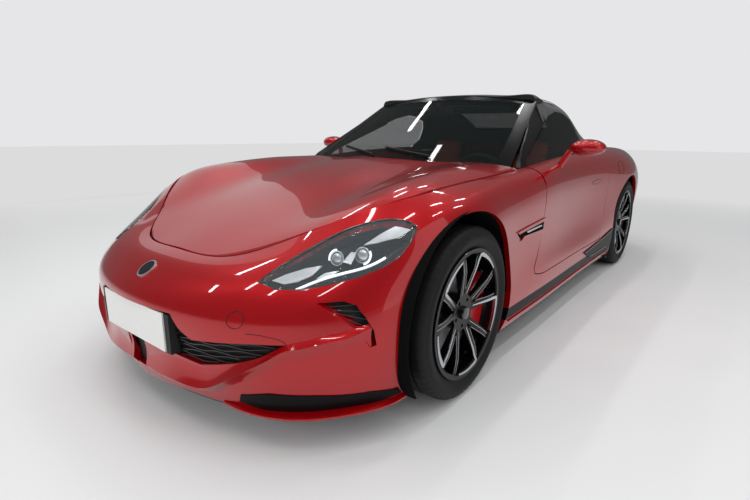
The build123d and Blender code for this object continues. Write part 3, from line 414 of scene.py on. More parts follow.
# %% The skins of nose, sides, tail, bonnet and deck
sections = [[(x, FRONT_AXLE + y, z) for x, y, z in points] for points in NOSE]
sections += [[(x, axle + y, z) for x, z in points] for axle, y, *points in SIDES]
sections += [[(x, REAR_AXLE + y, z) for x, y, z in points] for points in TAIL]
nose_skin = Skin([*[mirrored(s) for s in sections[7:0:-1]], *sections[:8]], 240, 60)
left_rows = [mirrored(sections[2]), mirrored(sections[1]), *sections[:12]]
side_skin = Skin(left_rows, 240, 60)
right_skin = Skin([mirrored(row) for row in left_rows], 240, 60)
tail_skin = Skin([*sections[7:], *[mirrored(s) for s in sections[14:6:-1]]], 260, 60)
bonnet_skin = Skin(top_rows(BONNET, BONNET_X, FRONT_AXLE), 90, 90)
deck_skin = Skin(top_rows(DECK, DECK_X, REAR_AXLE), 60, 60)
print("skins with", len(nose_skin.points) + len(side_skin.points) + len(tail_skin.points), "points")

# %% [markdown]
# Low down, the smooth surface runs up to 2 cm inside the solids, and a thin piece laid on it would be
# buried. So a ray that finds a place on the skin also looks for the solid's real face close by and takes
# that.

# %% Places on the car
# rays start well outside the car: beside, ahead, behind, over its sides and over its top
BESIDE, AHEAD, BEHIND, OVER_SIDE, OVER_TOP = 1.5, -3, 3, 1.4, 1.6
INWARD, BACKWARD, FORWARD, DOWN = (-1, 0, 0), (0, 1, 0), (0, -1, 0), (0, 0, -1)


def tree_of(*names):
    """The joined faces of some solids, to cast rays on."""
    points = []
    faces = []
    for name in names:
        data = nodes[name].data
        start = len(points)
        points += [vert.co.copy() for vert in data.vertices]
        faces += [[start + k for k in face.vertices] for face in data.polygons]
    return BVHTree.FromPolygons(points, faces)


body_tree = tree_of("front_bumper", "front_fenders", "side_sills", "rear_body", "door_left", "door_right",
                    "tail_lamps")


def on_body(skin, origin, direction, reach=0.025):
    """The place and the normal on a skin, moved onto the solid's face where that is within reach."""
    spot, out = skin.cast(origin, direction)
    hit = body_tree.ray_cast(Vector(origin), Vector(direction))[0]
    return (hit if hit and (hit - spot).length < reach else spot), out


def on_side(y, z):
    return on_body(side_skin, (BESIDE, y, z), INWARD)


def on_top(x, y):
    return on_body(side_skin, (x, y, OVER_SIDE), DOWN)


def on_nose(x, z):
    return on_body(nose_skin, (x, AHEAD, z), BACKWARD)


def in_mouth(x, z):
    """A place on the nose's smooth surface, where the mouth's opening leaves no solid to meet."""
    return nose_skin.cast((x, AHEAD, z), BACKWARD)


def on_tail(x, z):
    return on_body(tail_skin, (x, BEHIND, z), FORWARD)


def raised(spots, lift):
    """Places moved off their surface along its normal, or into it by a negative lift."""
    return [spot + out * lift for spot, out in spots]


print("nose at the middle:", [round(c, 3) for c in on_nose(0, 0.45)[0]])

# %% [markdown]
# ## Building pieces
# Every piece ends the same way: it gets a material, smooth shading with hard edges where faces meet at a
# sharp angle, and the body of the car it rides on. Auto-smooth by a modifier would do as well.

# %% Ending a piece
def link_piece(name, mesh, body, material, slot, smooth_angle=35):
    """Makes an object of a mesh, shades it smooth up to an angle, and lets it ride on a body."""
    piece = bpy.data.objects.new(name, mesh)
    bpy.context.scene.collection.objects.link(piece)
    if material is not None:
        mesh.materials.append(material)
    mesh.shade_smooth()
    build = bmesh.new()
    build.from_mesh(mesh)
    for edge in build.edges:
        if len(edge.link_faces) == 2 and edge.calc_face_angle(0) > math.radians(smooth_angle):
            edge.smooth = False
    build.to_mesh(mesh)
    build.free()
    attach(piece, body)
    return piece


def from_bmesh(name, build, body, material, slot, smooth_angle=35):
    """Turns a finished bmesh into a piece."""
    mesh = bpy.data.meshes.new(name)
    build.to_mesh(mesh)
    build.free()
    return link_piece(name, mesh, body, material, slot, smooth_angle)


# %% [markdown]
# A panel's solid has the right outline and gaps but flat triangles. Its copy is merged, and each corner
# that lies on a skin takes the skin's normal there, so the light flows over it as over pressed metal.

# %% Panels from solids
looked_up = {}
SAME_WAY = 0.85  # cosine of the widest angle between a face and the skin it lies on
MERGE = 1e-5  # metres, far less than any gap


def remember(skin, index, mesh):
    """The skin's normal at a vertex, looked up once."""
    key = (id(skin), mesh.name, index)
    if key not in looked_up:
        looked_up[key] = skin.near(mesh.vertices[index].co)
    return looked_up[key]


def skin_corners(mesh, skins, reach):
    """The mesh's corner normals, with the skins' own where a face lies within reach of one."""
    corners = [Vector(n.vector) for n in mesh.corner_normals]
    for face in mesh.polygons:
        for skin in skins:
            normal, distance = skin.near(face.center)
            if abs(normal.dot(face.normal)) < SAME_WAY or distance > 3 * reach:
                continue
            found = [remember(skin, mesh.loops[k].vertex_index, mesh) for k in face.loop_indices]
            if max(distance for _, distance in found) > reach:
                continue
            for k, (normal, _) in zip(face.loop_indices, found):
                corners[k] = normal if normal.dot(face.normal) > 0 else -normal
            break
    return corners


def dress(node, name, material, slot, skins=(), reach=0.004, choose=None, others=(), levels=()):
    """A copy of a solid with merged points and the skins' normals; choose picks other materials by face."""
    build = bmesh.new()
    build.from_mesh(nodes[node].data)
    bmesh.ops.remove_doubles(build, verts=build.verts, dist=MERGE)
    for level in levels:
        bmesh.ops.bisect_plane(build, geom=[*build.verts, *build.edges, *build.faces], plane_co=(0, 0, level),
                               plane_no=(0, 0, 1))
    piece = from_bmesh(name, build, body_of[node], material, slot)
    mesh = piece.data
    for other in others:
        mesh.materials.append(other)
    if choose:
        for face in mesh.polygons:
            face.material_index = choose(face.center, face.normal)
    if skins:
        mesh.normals_split_custom_set([tuple(n) for n in skin_corners(mesh, skins, reach)])
    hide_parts(node)
    return piece


def part_of(node, name, material, slot, keep, thickness=0.0, smooth_angle=40):
    """The faces of a solid that keep chooses, as a sheet of a thickness that grows inwards."""
    build = bmesh.new()
    build.from_mesh(nodes[node].data)
    bmesh.ops.remove_doubles(build, verts=build.verts, dist=MERGE)
    build.normal_update()
    gone = [face for face in build.faces if not keep(face.calc_center_median(), face.normal)]
    bmesh.ops.delete(build, geom=gone, context="FACES")
    piece = from_bmesh(name, build, body_of[node], material, slot, smooth_angle)
    if thickness:
        solid = piece.modifiers.new("cloth", "SOLIDIFY")
        solid.thickness = thickness
        solid.offset = -1
    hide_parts(node)
    return piece


# %% [markdown]
# Trim is made in four ways. A plate is an outline filled with triangles and laid on the skin. A line is a
# round bar along a smooth curve. A lathe turns a profile about the wheel's axis. A loft joins
# cross-sections.

# %% Plates and lines
def filled(outline, step):
    """Points and triangles that fill an outline of 2-D points, with a grid of inner points."""
    outline = [Vector(p) for p in outline]
    lows = [min(p[i] for p in outline) for i in (0, 1)]
    highs = [max(p[i] for p in outline) for i in (0, 1)]
    edge = []
    for a, b in zip(outline, outline[1:] + outline[:1]):
        parts = max(1, round((b - a).length / step))
        edge += [a.lerp(b, k / parts) for k in range(parts)]
    inner = [Vector((x, y)) for x in np.arange(lows[0] + step / 2, highs[0], step)
             for y in np.arange(lows[1] + step / 2, highs[1], step)]
    count = len(edge)
    points, _, faces, *_ = delaunay_2d_cdt(edge + inner, [(k, (k + 1) % count) for k in range(count)], [], 1,
                                           1e-7)
    return points, faces


def plate(name, outline, cast, lift, depth, body, material, slot, step=0.02, flip=1):
    """A plate on a skin: its outline is 2-D, cast finds the place on the skin, lift raises its outer face."""
    flat, faces = filled(outline, step)
    spots = [cast(*p) for p in flat]
    count = len(flat)
    build = bmesh.new()
    made = [build.verts.new((flip * p.x, p.y, p.z)) for rise in (lift, lift - depth)
            for p in raised(spots, rise)]
    for face in faces:
        build.faces.new([made[k] for k in face])
        build.faces.new([made[k + count] for k in reversed(face)])
    build.verts.index_update()
    rim = [[vert.index for vert in edge.verts] for edge in build.edges if len(edge.link_faces) == 1]
    for a, b in rim:
        if a < count and b < count:
            build.faces.new([made[a], made[b], made[b + count], made[a + count]])
    bmesh.ops.recalc_face_normals(build, faces=build.faces)
    return from_bmesh(name, build, body, material, slot)


def line(name, points, radius, body, material, closed=False, flip=1):
    """A round bar along a smooth line of points."""
    curve = bpy.data.curves.new(name, "CURVE")
    curve.dimensions = "3D"
    curve.bevel_depth = radius
    curve.bevel_resolution = 3
    curve.use_fill_caps = True
    spline = curve.splines.new("NURBS")
    spline.points.add(len(points) - 1)
    for place, p in zip(spline.points, points):
        place.co = (flip * p[0], p[1], p[2], 1)
    spline.order_u = 3
    spline.use_endpoint_u = not closed
    spline.use_cyclic_u = closed
    curve.materials.append(material)
    piece = bpy.data.objects.new(name, curve)
    bpy.context.scene.collection.objects.link(piece)
    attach(piece, body)
    return piece


# %% Lathes and lofts
def turned(profile, centre, sign, steps):
    """A ring turned about the X axis: profile gives (x, radius) points, outwards is positive x."""
    build = bmesh.new()
    corners = [build.verts.new(centre + Vector((sign * x, 0, r))) for x, r in profile]
    edges = [build.edges.new(pair) for pair in zip(corners, corners[1:] + corners[:1])]
    bmesh.ops.spin(build, geom=corners + edges, cent=centre, axis=(1, 0, 0), angle=2 * math.pi, steps=steps,
                   use_merge=True)
    bmesh.ops.recalc_face_normals(build, faces=build.faces)
    return build


def lathe(name, profile, body, centre, material, slot, steps, sign):
    """A turned ring as a piece of a wheel."""
    return from_bmesh(name, turned(profile, centre, sign, steps), body, material, slot)


def loft(name, rows, body, material, slot, steps=60, smooth_angle=35, flip=1):
    """A closed form through cross-sections of equal length, smooth along and straight from point to point."""
    rows = np.array(rows, float)
    gaps = np.linalg.norm(np.diff(rows, axis=0), axis=2).mean(axis=1)
    places = np.concatenate([[0], np.cumsum(gaps)])
    dense = smooth(places, rows, np.linspace(0, places[-1], steps))
    build = bmesh.new()
    rings = [[build.verts.new((flip * p[0], p[1], p[2])) for p in ring] for ring in dense]
    for a, b in zip(rings, rings[1:]):
        for k in range(len(a)):
            n = (k + 1) % len(a)
            build.faces.new((a[k], a[n], b[n], b[k]))
    for ring in (rings[0], rings[-1]):
        build.faces.new(ring)
    bmesh.ops.recalc_face_normals(build, faces=build.faces)
    return from_bmesh(name, build, body, material, slot, smooth_angle)


# %% [markdown]
# ## Painted panels
# The bumper, fenders, doors, sills and lids are pressed or moulded shells that are sprayed together. Each
# could get its own material, but one paint on all of them is what makes them one car. The sills have a
# black strip and a dark underside, which are cut into the mesh at fixed heights and given a second
# material.

# %% Painted panels
STRIP_FOOT, STRIP_TOP, UNDERSIDE = 0.203, 0.259, 0.150  # heights on the sill


def sill_band(centre, normal):
    """Chooses the black strip between two heights, and the dark underside."""
    return 1 if STRIP_FOOT < centre.z < STRIP_TOP or centre.z < UNDERSIDE else 0


for node, name, skins, reach in (
        ("front_bumper", "bumper_skin", [nose_skin, side_skin, right_skin], 0.020),
        ("front_fenders", "fender_skin", [side_skin, right_skin], 0.004),
        ("rear_body", "rear_quarter_skin", [tail_skin], 0.010),
        ("bonnet", "bonnet_panel", [bonnet_skin], 0.004),
        ("boot_lid", "boot_panel", [deck_skin], 0.004),
        ("rear_deck", "deck_panel", [deck_skin], 0.004),
        ("door_left", "door_skin_left", [side_skin], 0.004),
        ("door_right", "door_skin_right", [right_skin], 0.004),
        ("mirror_left", "mirror_shell_left", [], 0.004),
        ("mirror_right", "mirror_shell_right", [], 0.004)):
    dress(node, name, paint, "body_paint", skins, reach)
dress("side_sills", "sill_skin", paint, "body_paint", [side_skin, right_skin], 0.006, choose=sill_band,
      others=[sill_black], levels=(UNDERSIDE, STRIP_FOOT, STRIP_TOP))

# %% [markdown]
# ## Glass, running gear and cabin shells
# These solids already have their final shape, so each only needs its finish. A table says which. A rim and
# its brake disc are one solid, so the disc's faces are chosen by their place and get the steel.

# %% Glass, running gear and cabin shells
WHEEL_X = 0.8025  # from the car's middle to a wheel's middle
FRONT_RADIUS, REAR_RADIUS = 0.352, 0.350  # of the tyres, so also the axles' heights
DISC_RADII, DISC_X = (0.080, 0.191), (0.799, 0.832)


def disc_part(axle_y, axle_z):
    """Chooses the brake disc's faces inside a rim."""
    def choose(centre, normal):
        radius = math.hypot(centre.y - axle_y, centre.z - axle_z)
        return 1 if DISC_RADII[0] < radius < DISC_RADII[1] and DISC_X[0] < abs(centre.x) < DISC_X[1] else 0
    return choose


for side, sign in BOTH_SIDES:
    dress("door_glass_" + side, "door_window_" + side, window_glass, "screen_glass")
    dress("knuckle_" + side, "hub_carrier_" + side, steel, "steel")
    dress("front_caliper_" + side, "caliper_body_" + side, caliper_red, "caliper_red")
    for end, axle, radius in (("front", FRONT_AXLE, FRONT_RADIUS), ("rear", REAR_AXLE, REAR_RADIUS)):
        dress("%s_rim_%s" % (end, side), "rim_%s_%s" % (end, side), alloy_black, "wheel_alloy",
              choose=disc_part(axle / MM, radius), others=[disc_steel])
# node, piece, material, slot
for row in (
        ("windscreen_frame", "screen_surround", frame_black, "black_gloss"),
        ("cowl_panel", "cowl_grille", grained_black, "black_trim"),
        ("windscreen", "screen_pane", window_glass, "screen_glass"),
        ("rear_window", "rear_pane", privacy_glass, "dark_glass"),
        ("tail_lamps", "tail_lens", red_lens_painted_glow, "lamp_red", [tail_skin]),
        ("front_grille", "grille_backing", grained_black, "black_trim"),
        ("front_splitter", "splitter_blade", piano_black, "black_gloss"),
        ("rear_diffuser", "diffuser_plate", grained_black, "black_trim"),
        ("number_plates", "plate_blanks", plate_white, "plate_white"),
        ("battery_pack", "battery_tray", cast_alloy, "battery_case"),
        ("floor_pan", "tub_shell", underbody, "tub_metal"),
        ("wheel_liners", "arch_liner", arch_felt, "black_trim"),
        ("drive_units", "drive_cases", cast_alloy, "battery_case"),
        ("front_suspension", "front_links", steel, "steel"),
        ("rear_suspension", "rear_links", steel, "steel"),
        ("rear_calipers", "rear_caliper_bodies", caliper_red, "caliper_red"),
        ("dashboard", "dash_panel", dark_leather, "dash_leather"),
        ("centre_console", "console_body", dark_leather, "dash_leather"),
        ("steering_wheel", "steering_rim", dark_leather, "dash_leather")):
    dress(*row)

# %% [markdown]
# ## Soft top
# The roof is a woven outer cloth and a headlining, stretched over bows that don't show. A cloth simulation
# would sag where the real one is pulled tight, so both layers are the solid's own faces: those on the
# outer skin, and those a roof's thickness below it. What is left round the edge becomes the rubber seal.

# %% Soft top
# y, then the points (x, z) from the middle down to the edge, in millimetres
SOFT_TOP = [
    (-60, (0, 1297), (240, 1290), (430, 1275), (560, 1258), (603, 1215), (652, 1110), (715, 985), (749, 915)),
    (250, (0, 1325), (240, 1316), (430, 1300), (560, 1268), (601, 1212), (652, 1110), (715, 985), (747, 920)),
    (550, (0, 1316), (240, 1306), (430, 1285), (560, 1246), (612, 1190), (657, 1100), (714, 985), (744, 925)),
    (800, (0, 1262), (240, 1252), (420, 1230), (540, 1195), (600, 1140), (650, 1060), (700, 985), (738, 925)),
    (1000, (0, 1175), (230, 1165), (400, 1145), (510, 1112), (585, 1070), (640, 1020), (690, 975),
     (728, 925)),
    (1180, (0, 1075), (230, 1068), (390, 1058), (500, 1042), (580, 1020), (635, 995), (680, 965), (718, 925)),
    (1330, (0, 1000), (230, 998), (390, 995), (500, 992), (575, 985), (625, 972), (665, 955), (705, 925)),
]
roof_rows = [[(x, y, z) for x, z in points] for y, *points in SOFT_TOP]
roof_skin = Skin([mirrored(row[:0:-1]) + row for row in roof_rows], 90, 120)

ROOF_THICKNESS, LAYER_REACH = 0.026, 0.006


def roof_layer(depth):
    """Chooses the roof faces that lie at a depth below the roof skin and along it."""
    def keep(centre, normal):
        along, distance = roof_skin.near(centre)
        return abs(distance - depth) < LAYER_REACH and abs(along.dot(normal)) > SAME_WAY
    return keep


outer_layer, inner_layer = roof_layer(0.0), roof_layer(ROOF_THICKNESS)
roof = part_of("soft_top", "roof_canvas", canvas, "roof_fabric", outer_layer, 0.004)
lining = part_of("soft_top", "roof_lining", canvas, "roof_fabric", inner_layer, 0.003)
part_of("soft_top", "roof_edge_seal", seal_rubber, "roof_fabric",
        lambda centre, normal: not outer_layer(centre, normal) and not inner_layer(centre, normal))
print("roof cloth:", len(roof.data.polygons), "faces, lining:", len(lining.data.polygons))

# %% [markdown]
# ## Headlamp shells
# A headlamp is a clear lens over a black bowl. Both are one solid here, so the faces that lie on the
# body's skin become the lens, and the rest the bowl. Only the left side's skin is asked, so the right lamp
# is dark all over.

# %% Headlamp shells
ON_SKIN = 0.004


def at_skin(centre, normal):
    """Chooses the faces on the left side's skin."""
    return side_skin.near(centre)[1] < ON_SKIN


def off_skin(centre, normal):
    """Chooses all the other faces."""
    return not at_skin(centre, normal)


part_of("headlamps", "lamp_lens", lamp_glass, "lamp_clear", at_skin, 0.002)
part_of("headlamps", "lamp_bowl", frame_black, "black_gloss", off_skin)

# %% [markdown]
# ## Chin blades
# Two painted blades stand ahead of the lower lip and run up past the corners of the mouth. Sculpting them
# would be quick but hard to change. As a loft, each cross-section has a root at the top, a crest and a
# foot, and the two faces between them are slightly hollow.

# %% Chin blades
# root (x, z) on the nose, crest (x, y, z), foot (x, z) on the nose
BLADE = [
    ((0.050, 0.300), (0.050, -2.250, 0.203), (0.050, 0.148)),
    ((0.120, 0.300), (0.118, -2.250, 0.202), (0.120, 0.150)),
    ((0.213, 0.301), (0.212, -2.245, 0.204), (0.212, 0.152)),
    ((0.285, 0.290), (0.277, -2.235, 0.201), (0.280, 0.156)),
    ((0.349, 0.284), (0.334, -2.222, 0.201), (0.340, 0.165)),
    ((0.410, 0.297), (0.384, -2.205, 0.214), (0.390, 0.182)),
    ((0.465, 0.310), (0.438, -2.190, 0.245), (0.430, 0.205)),
    ((0.515, 0.326), (0.499, -2.172, 0.285), (0.490, 0.242)),
    ((0.575, 0.352), (0.564, -2.140, 0.329), (0.560, 0.275)),
    ((0.615, 0.378), (0.610, -2.115, 0.360), (0.610, 0.298)),
    ((0.650, 0.402), (0.650, -2.088, 0.389), (0.655, 0.318)),
    ((0.687, 0.412), (0.694, -2.053, 0.399), (0.700, 0.333)),
    ((0.722, 0.424), (0.731, -2.015, 0.410), (0.740, 0.342)),
    ((0.773, 0.437), (0.783, -1.949, 0.422), (0.785, 0.350)),
    ((0.798, 0.445), (0.809, -1.910, 0.432), (0.808, 0.360)),
    ((0.815, 0.448), (0.826, -1.874, 0.438), (0.824, 0.372)),
]
ROOT_SINK, SPINE_SINK = 0.002, 0.015  # how far the blade's back lies inside the bumper
CREST_PUSH = 0.014
SHELF_HOLLOW, UNDER_HOLLOW = 0.07, 0.06  # depth over width


def hollow(start, end, out, depth, shares):
    """Points from start to end that sag by a share of the way between them."""
    return [start.lerp(end, t) - out * depth * (end - start).length * 4 * t * (1 - t) for t in shares]


def chin_blade(side, sign):
    rows = []
    for k, (root, crest, foot) in enumerate(BLADE):
        root, root_out = on_nose(*root)
        foot, foot_out = on_nose(*foot)
        push = CREST_PUSH * min(1, max(0, (k - 4) / 3)) * min(1, (len(BLADE) - 1 - k) / 2)
        root, foot = root - root_out * ROOT_SINK, foot - foot_out * ROOT_SINK
        crest = Vector(crest) + foot_out * push
        shelf = hollow(root, crest, root_out, SHELF_HOLLOW, (0.25, 0.5, 0.75))
        under = hollow(crest, foot, foot_out, UNDER_HOLLOW, (0.3, 0.65))
        spine = root.lerp(foot, 0.5) - foot_out * SPINE_SINK
        rows.append([root, *shelf, crest, crest.lerp(foot, 0.05), *under, foot, spine])
    loft("chin_blade_" + side, rows, "car_body", paint, "body_paint", 90, 30, sign)


for side, sign in BOTH_SIDES:
    chin_blade(side, sign)

# %% [markdown]
# ## Slats of the mouth and the outer intakes
# Thin wavy slats break up the dark openings. They could be an image on a plane, but real bars catch the
# light one by one. In the mouth each follows a sine, and is kept only where the opening is high enough for
# it.

# %% Slats
MOUTH_TOP = [(0.0, 0.40), (0.26, 0.40), (0.333, 0.376), (0.451, 0.387), (0.648, 0.397)]
MOUTH_FOOT = [(0.0, 0.303), (0.213, 0.303), (0.349, 0.283), (0.507, 0.321), (0.59, 0.357), (0.648, 0.397)]
MOUTH_HALF = 0.64
SLATS, LOWEST_SLAT, SLAT_GAP = 7, 0.295, 0.015
WAVE, WAVE_LENGTH, WAVE_SHIFT = 0.0045, 0.13, 2.1
SLAT_DEPTH, INTAKE_DEPTH = 0.015, 0.012
# inner end and outer end of each bar, as (x, z)
INTAKE_BARS = (((0.705, 0.517), (0.790, 0.517)), ((0.722, 0.507), (0.806, 0.492)),
               ((0.752, 0.495), (0.815, 0.462)), ((0.778, 0.470), (0.826, 0.425)))


def height(edge, x):
    """The height of the mouth's edge at a place across."""
    return float(np.interp(abs(x), [p[0] for p in edge], [p[1] for p in edge]))


for level in range(SLATS):
    run = []
    for x in np.arange(-MOUTH_HALF, MOUTH_HALF + 0.001, 0.02):
        wave = WAVE * math.sin(2 * math.pi * x / WAVE_LENGTH + level * WAVE_SHIFT)
        z = LOWEST_SLAT + SLAT_GAP * level + wave
        if height(MOUTH_FOOT, x) - 0.004 < z < height(MOUTH_TOP, x) + 0.006:
            run.append(in_mouth(x, z))
    if len(run) > 3:
        line("grille_slat_%d" % level, raised(run, -SLAT_DEPTH), 0.0032, "car_body", piano_black)
for k, (start, end) in enumerate(INTAKE_BARS):
    run = [in_mouth(*Vector(start).lerp(Vector(end), t)) for t in np.linspace(0, 1, 6)]
    for side, sign in BOTH_SIDES:
        line("intake_slat_%d_%s" % (k, side), raised(run, -INTAKE_DEPTH), 0.003, "car_body", piano_black,
             flip=sign)

# %% [markdown]
# ## Splitter wings
# Low on each corner, a painted lip juts out under a black panel to press the nose down. The panel is a
# plate on the bumper. The lip's reach grows and fades along it, so it is a loft with the reach in a table.

# %% Splitter wings
WING_FACE = [(0.483, 0.194), (0.581, 0.217), (0.709, 0.214), (0.809, 0.198), (0.857, 0.170), (0.852, 0.157),
             (0.800, 0.143), (0.650, 0.142), (0.557, 0.148), (0.470, 0.165)]
# x, and how far the lip reaches out there
LIP_REACH = ((0.40, 0.004), (0.48, 0.020), (0.56, 0.030), (0.65, 0.036), (0.74, 0.036), (0.80, 0.032),
             (0.845, 0.018), (0.868, 0.004))
LIP_END, LIP_HEIGHT, LIP_ROOT = 0.862, 0.146, 0.02

for side, sign in BOTH_SIDES:
    plate("splitter_wing_face_" + side, WING_FACE, on_nose, 0.003, 0.006, "car_body", sill_black,
          "black_gloss", 0.02, sign)
    rows = []
    for x, reach in LIP_REACH:
        spot, out = on_nose(min(x, LIP_END), LIP_HEIGHT)
        flat = Vector((out.x, out.y, 0)).normalized()
        # how far out and how far up each corner of the lip's section is
        section = ((-LIP_ROOT, 0.004), (reach * 0.6, 0), (reach, -0.006), (reach - 0.002, -0.014),
                   (-LIP_ROOT, -0.016))
        rows.append([spot + flat * away + Vector((0, 0, rise)) for away, rise in section])
    loft("splitter_wing_lip_" + side, rows, "car_body", paint, "body_paint", 40, 30, sign)

# %% [markdown]
# ## Small parts of the nose
# A bare oval badge, the round cover of the tow eye and a fine line in the lip. Seams could be cut into the
# panel's mesh, but a dark bar a millimetre thick, half sunk in the paint, reads the same from any
# distance.

# %% Badge, tow-eye cover and lip seam
BADGE_Y, BADGE_WIDE, BADGE_LONG, BADGE_FACE = -2.183, 0.036, 0.034, 0.84
OVER_NOSE = 1.0


def ring(count, wide, high, centre=(0, 0)):
    """Points round an ellipse."""
    turns = [2 * math.pi * k / count for k in range(count)]
    return [(centre[0] + wide * math.cos(a), centre[1] + high * math.sin(a)) for a in turns]


def on_nose_top(x, y):
    return nose_skin.cast((x, y, OVER_NOSE), DOWN)


badge = ring(32, BADGE_WIDE, BADGE_LONG, (0, BADGE_Y))
badge_face = ring(32, BADGE_WIDE * BADGE_FACE, BADGE_LONG * BADGE_FACE, (0, BADGE_Y))
plate("nose_badge", badge, on_nose_top, 0.004, 0.006, "car_body", lamp_chrome, "black_gloss", 0.008)
plate("nose_badge_face", badge_face, on_nose_top, 0.0052, 0.003, "car_body", piano_black, "black_gloss",
      0.008)
cover = [on_nose(*p) for p in ring(28, 0.027, 0.027, (0.50, 0.470))]
line("tow_eye_cover_seam", raised(cover, 0.0004), 0.0012, "car_body", seal_rubber, closed=True)
LIP_SEAM = ((0.534, 0.430), (0.56, 0.430), (0.590, 0.4267), (0.630, 0.4163), (0.643, 0.405), (0.646, 0.398))
lip_seam = raised([on_nose(*p) for p in LIP_SEAM], 0.0003)
for side, sign in BOTH_SIDES:
    line("lip_seam_" + side, lip_seam, 0.0011, "car_body", seal_rubber, flip=sign)

# %% [markdown]
# ## Inside the headlamps
# Two projectors in bright collars, faceted reflectors and a white light guide give a lamp its look. The
# whole optic could be modelled, but behind a lens only the bright edges and balls show, so these sit at
# small depths below the fender's skin.

# %% Lamp outlines
def on_lamp(depth):
    """Casts on the fender from above, a depth below its surface."""
    def cast(x, y):
        spot, out = on_top(x, y)
        return spot - out * depth, out
    return cast


LAMP_LINE = [(0.503, -2.063), (0.544, -1.9495), (0.590, -1.8585), (0.649, -1.7795), (0.714, -1.7155),
             (0.767, -1.6705),
             (0.812, -1.642), (0.832, -1.640), (0.834, -1.680), (0.826, -1.730), (0.803, -1.783),
             (0.760, -1.857), (0.703, -1.933), (0.639, -2.003), (0.568, -2.049)]
REFLECTORS = [
    [(0.721, -1.792), (0.747, -1.732), (0.774, -1.681), (0.822, -1.652), (0.803, -1.700), (0.756, -1.758)],
    [(0.530, -2.036), (0.555, -2.000), (0.600, -1.950), (0.645, -1.913), (0.637, -1.955), (0.609, -1.996),
     (0.577, -2.024)],
    [(0.694, -1.868), (0.699, -1.830), (0.716, -1.820), (0.722, -1.856)],
    [(0.655, -1.955), (0.668, -1.925), (0.700, -1.893), (0.692, -1.915)],
]
LIGHT_GUIDE = ((0.60, -2.015), (0.66, -1.960), (0.715, -1.893), (0.755, -1.845), (0.783, -1.803),
               (0.800, -1.768))
# x, y, the collar's radius, and the way the bright arc round it faces, in degrees
PROJECTORS = ((0.735, -1.812, 0.026, -20), (0.668, -1.868, 0.024, 150))
print("reflectors in a lamp:", len(REFLECTORS))

# %% Projectors
PROJECTOR_DEPTH, BALL_SHARE, BALL_FLAT = 0.024, 0.8, 0.55
ARC_SHARE, ARC_HALF = 1.22, 0.9  # the arc's radius over the collar's, and half its angle in radians


def projector(k, side, sign, x, y, radius, arc_way):
    """A flattened bright ball in a collar, with an arc of light beside it, turned towards the road."""
    spot, out = on_lamp(PROJECTOR_DEPTH)(x, y)
    turn = Vector((out.x * 0.5, -0.9, 0.25)).normalized().to_track_quat("Z", "Y").to_matrix().to_4x4()
    build = bmesh.new()
    bmesh.ops.create_uvsphere(build, u_segments=32, v_segments=16, radius=radius * BALL_SHARE)
    bmesh.ops.scale(build, vec=(1, 1, BALL_FLAT), verts=build.verts)
    bmesh.ops.transform(build, matrix=Matrix.Translation(spot) @ turn, verts=build.verts)
    bmesh.ops.scale(build, vec=(sign, 1, 1), verts=build.verts)
    bmesh.ops.recalc_face_normals(build, faces=build.faces)
    from_bmesh("lamp_projector_%d_%s" % (k, side), build, "car_body", lamp_chrome, "lamp_clear")

    def around(share, lift, angles):
        return [spot + turn.to_3x3() @ Vector((share * radius * math.cos(a), share * radius * math.sin(a),
                                               lift))
                for a in angles]

    collar = around(1, 0.002, np.linspace(0, 2 * math.pi, 24, endpoint=False))
    line("lamp_collar_%d_%s" % (k, side), collar, 0.0028, "car_body", lamp_chrome, closed=True,
         flip=sign)
    middle = math.radians(arc_way)
    arc = around(ARC_SHARE, 0.004, np.linspace(middle - ARC_HALF, middle + ARC_HALF, 12))
    line("lamp_arc_%d_%s" % (k, side), arc, 0.0035, "car_body", lamp_light, flip=sign)


# %% Both lamps
for side, sign in BOTH_SIDES:
    for k, outline in enumerate(REFLECTORS):
        plate("lamp_reflector_%d_%s" % (k, side), outline, on_lamp(0.016), 0, 0.004, "car_body", lamp_chrome,
              "lamp_clear", 0.02, sign)
    bezel = [on_lamp(0.004)(*p)[0] for p in LAMP_LINE]
    line("lamp_bezel_" + side, bezel, 0.0065, "car_body", piano_black, closed=True, flip=sign)
    guide = [on_lamp(0.012)(*p)[0] for p in LIGHT_GUIDE]
    line("lamp_light_guide_" + side, guide, 0.0045, "car_body", lamp_light, flip=sign)
    for k, row in enumerate(PROJECTORS):
        projector(k, side, sign, *row)

# %% [markdown]
# ## Sides
# Behind the front wheel is a vent with a bright insert between two painted bars, and ahead of the rear
# wheel a black fin with two bright lines. All of them follow the body, so they are plates and lines laid
# on it. The door handle lies flush, and only its seam shows.

# %% Trim of the sides
# piece: outline as (y, z), lift, depth, material, slot
SIDE_PLATES = {
    "vent_recess": ([(-0.893, 0.600), (-0.508, 0.618), (-0.508, 0.556), (-0.836, 0.564)], 0.0010, 0.002,
                    arch_felt, "black_gloss"),
    "vent_insert": ([(-0.775, 0.595), (-0.560, 0.597), (-0.545, 0.588), (-0.755, 0.585)], 0.0045, 0.004,
                    alloy_silver, "black_gloss"),
    "vent_upper_bar": ([(-0.905, 0.610), (-0.506, 0.628), (-0.506, 0.612), (-0.880, 0.598)], 0.007, 0.007,
                       paint, "body_paint"),
    "vent_lower_bar": ([(-0.800, 0.577), (-0.512, 0.569), (-0.512, 0.550), (-0.845, 0.560)], 0.006, 0.006,
                       paint, "body_paint"),
    "rear_fin": ([(0.22, 0.300), (0.60, 0.318), (0.925, 0.362), (0.925, 0.203), (0.60, 0.206), (0.38, 0.236)],
                 0.006, 0.01, sill_black, "black_gloss"),
}
FIN_LINES = (((0.25, 0.298), (0.60, 0.315), (0.92, 0.358)), ((0.38, 0.246), (0.60, 0.243), (0.80, 0.246)))
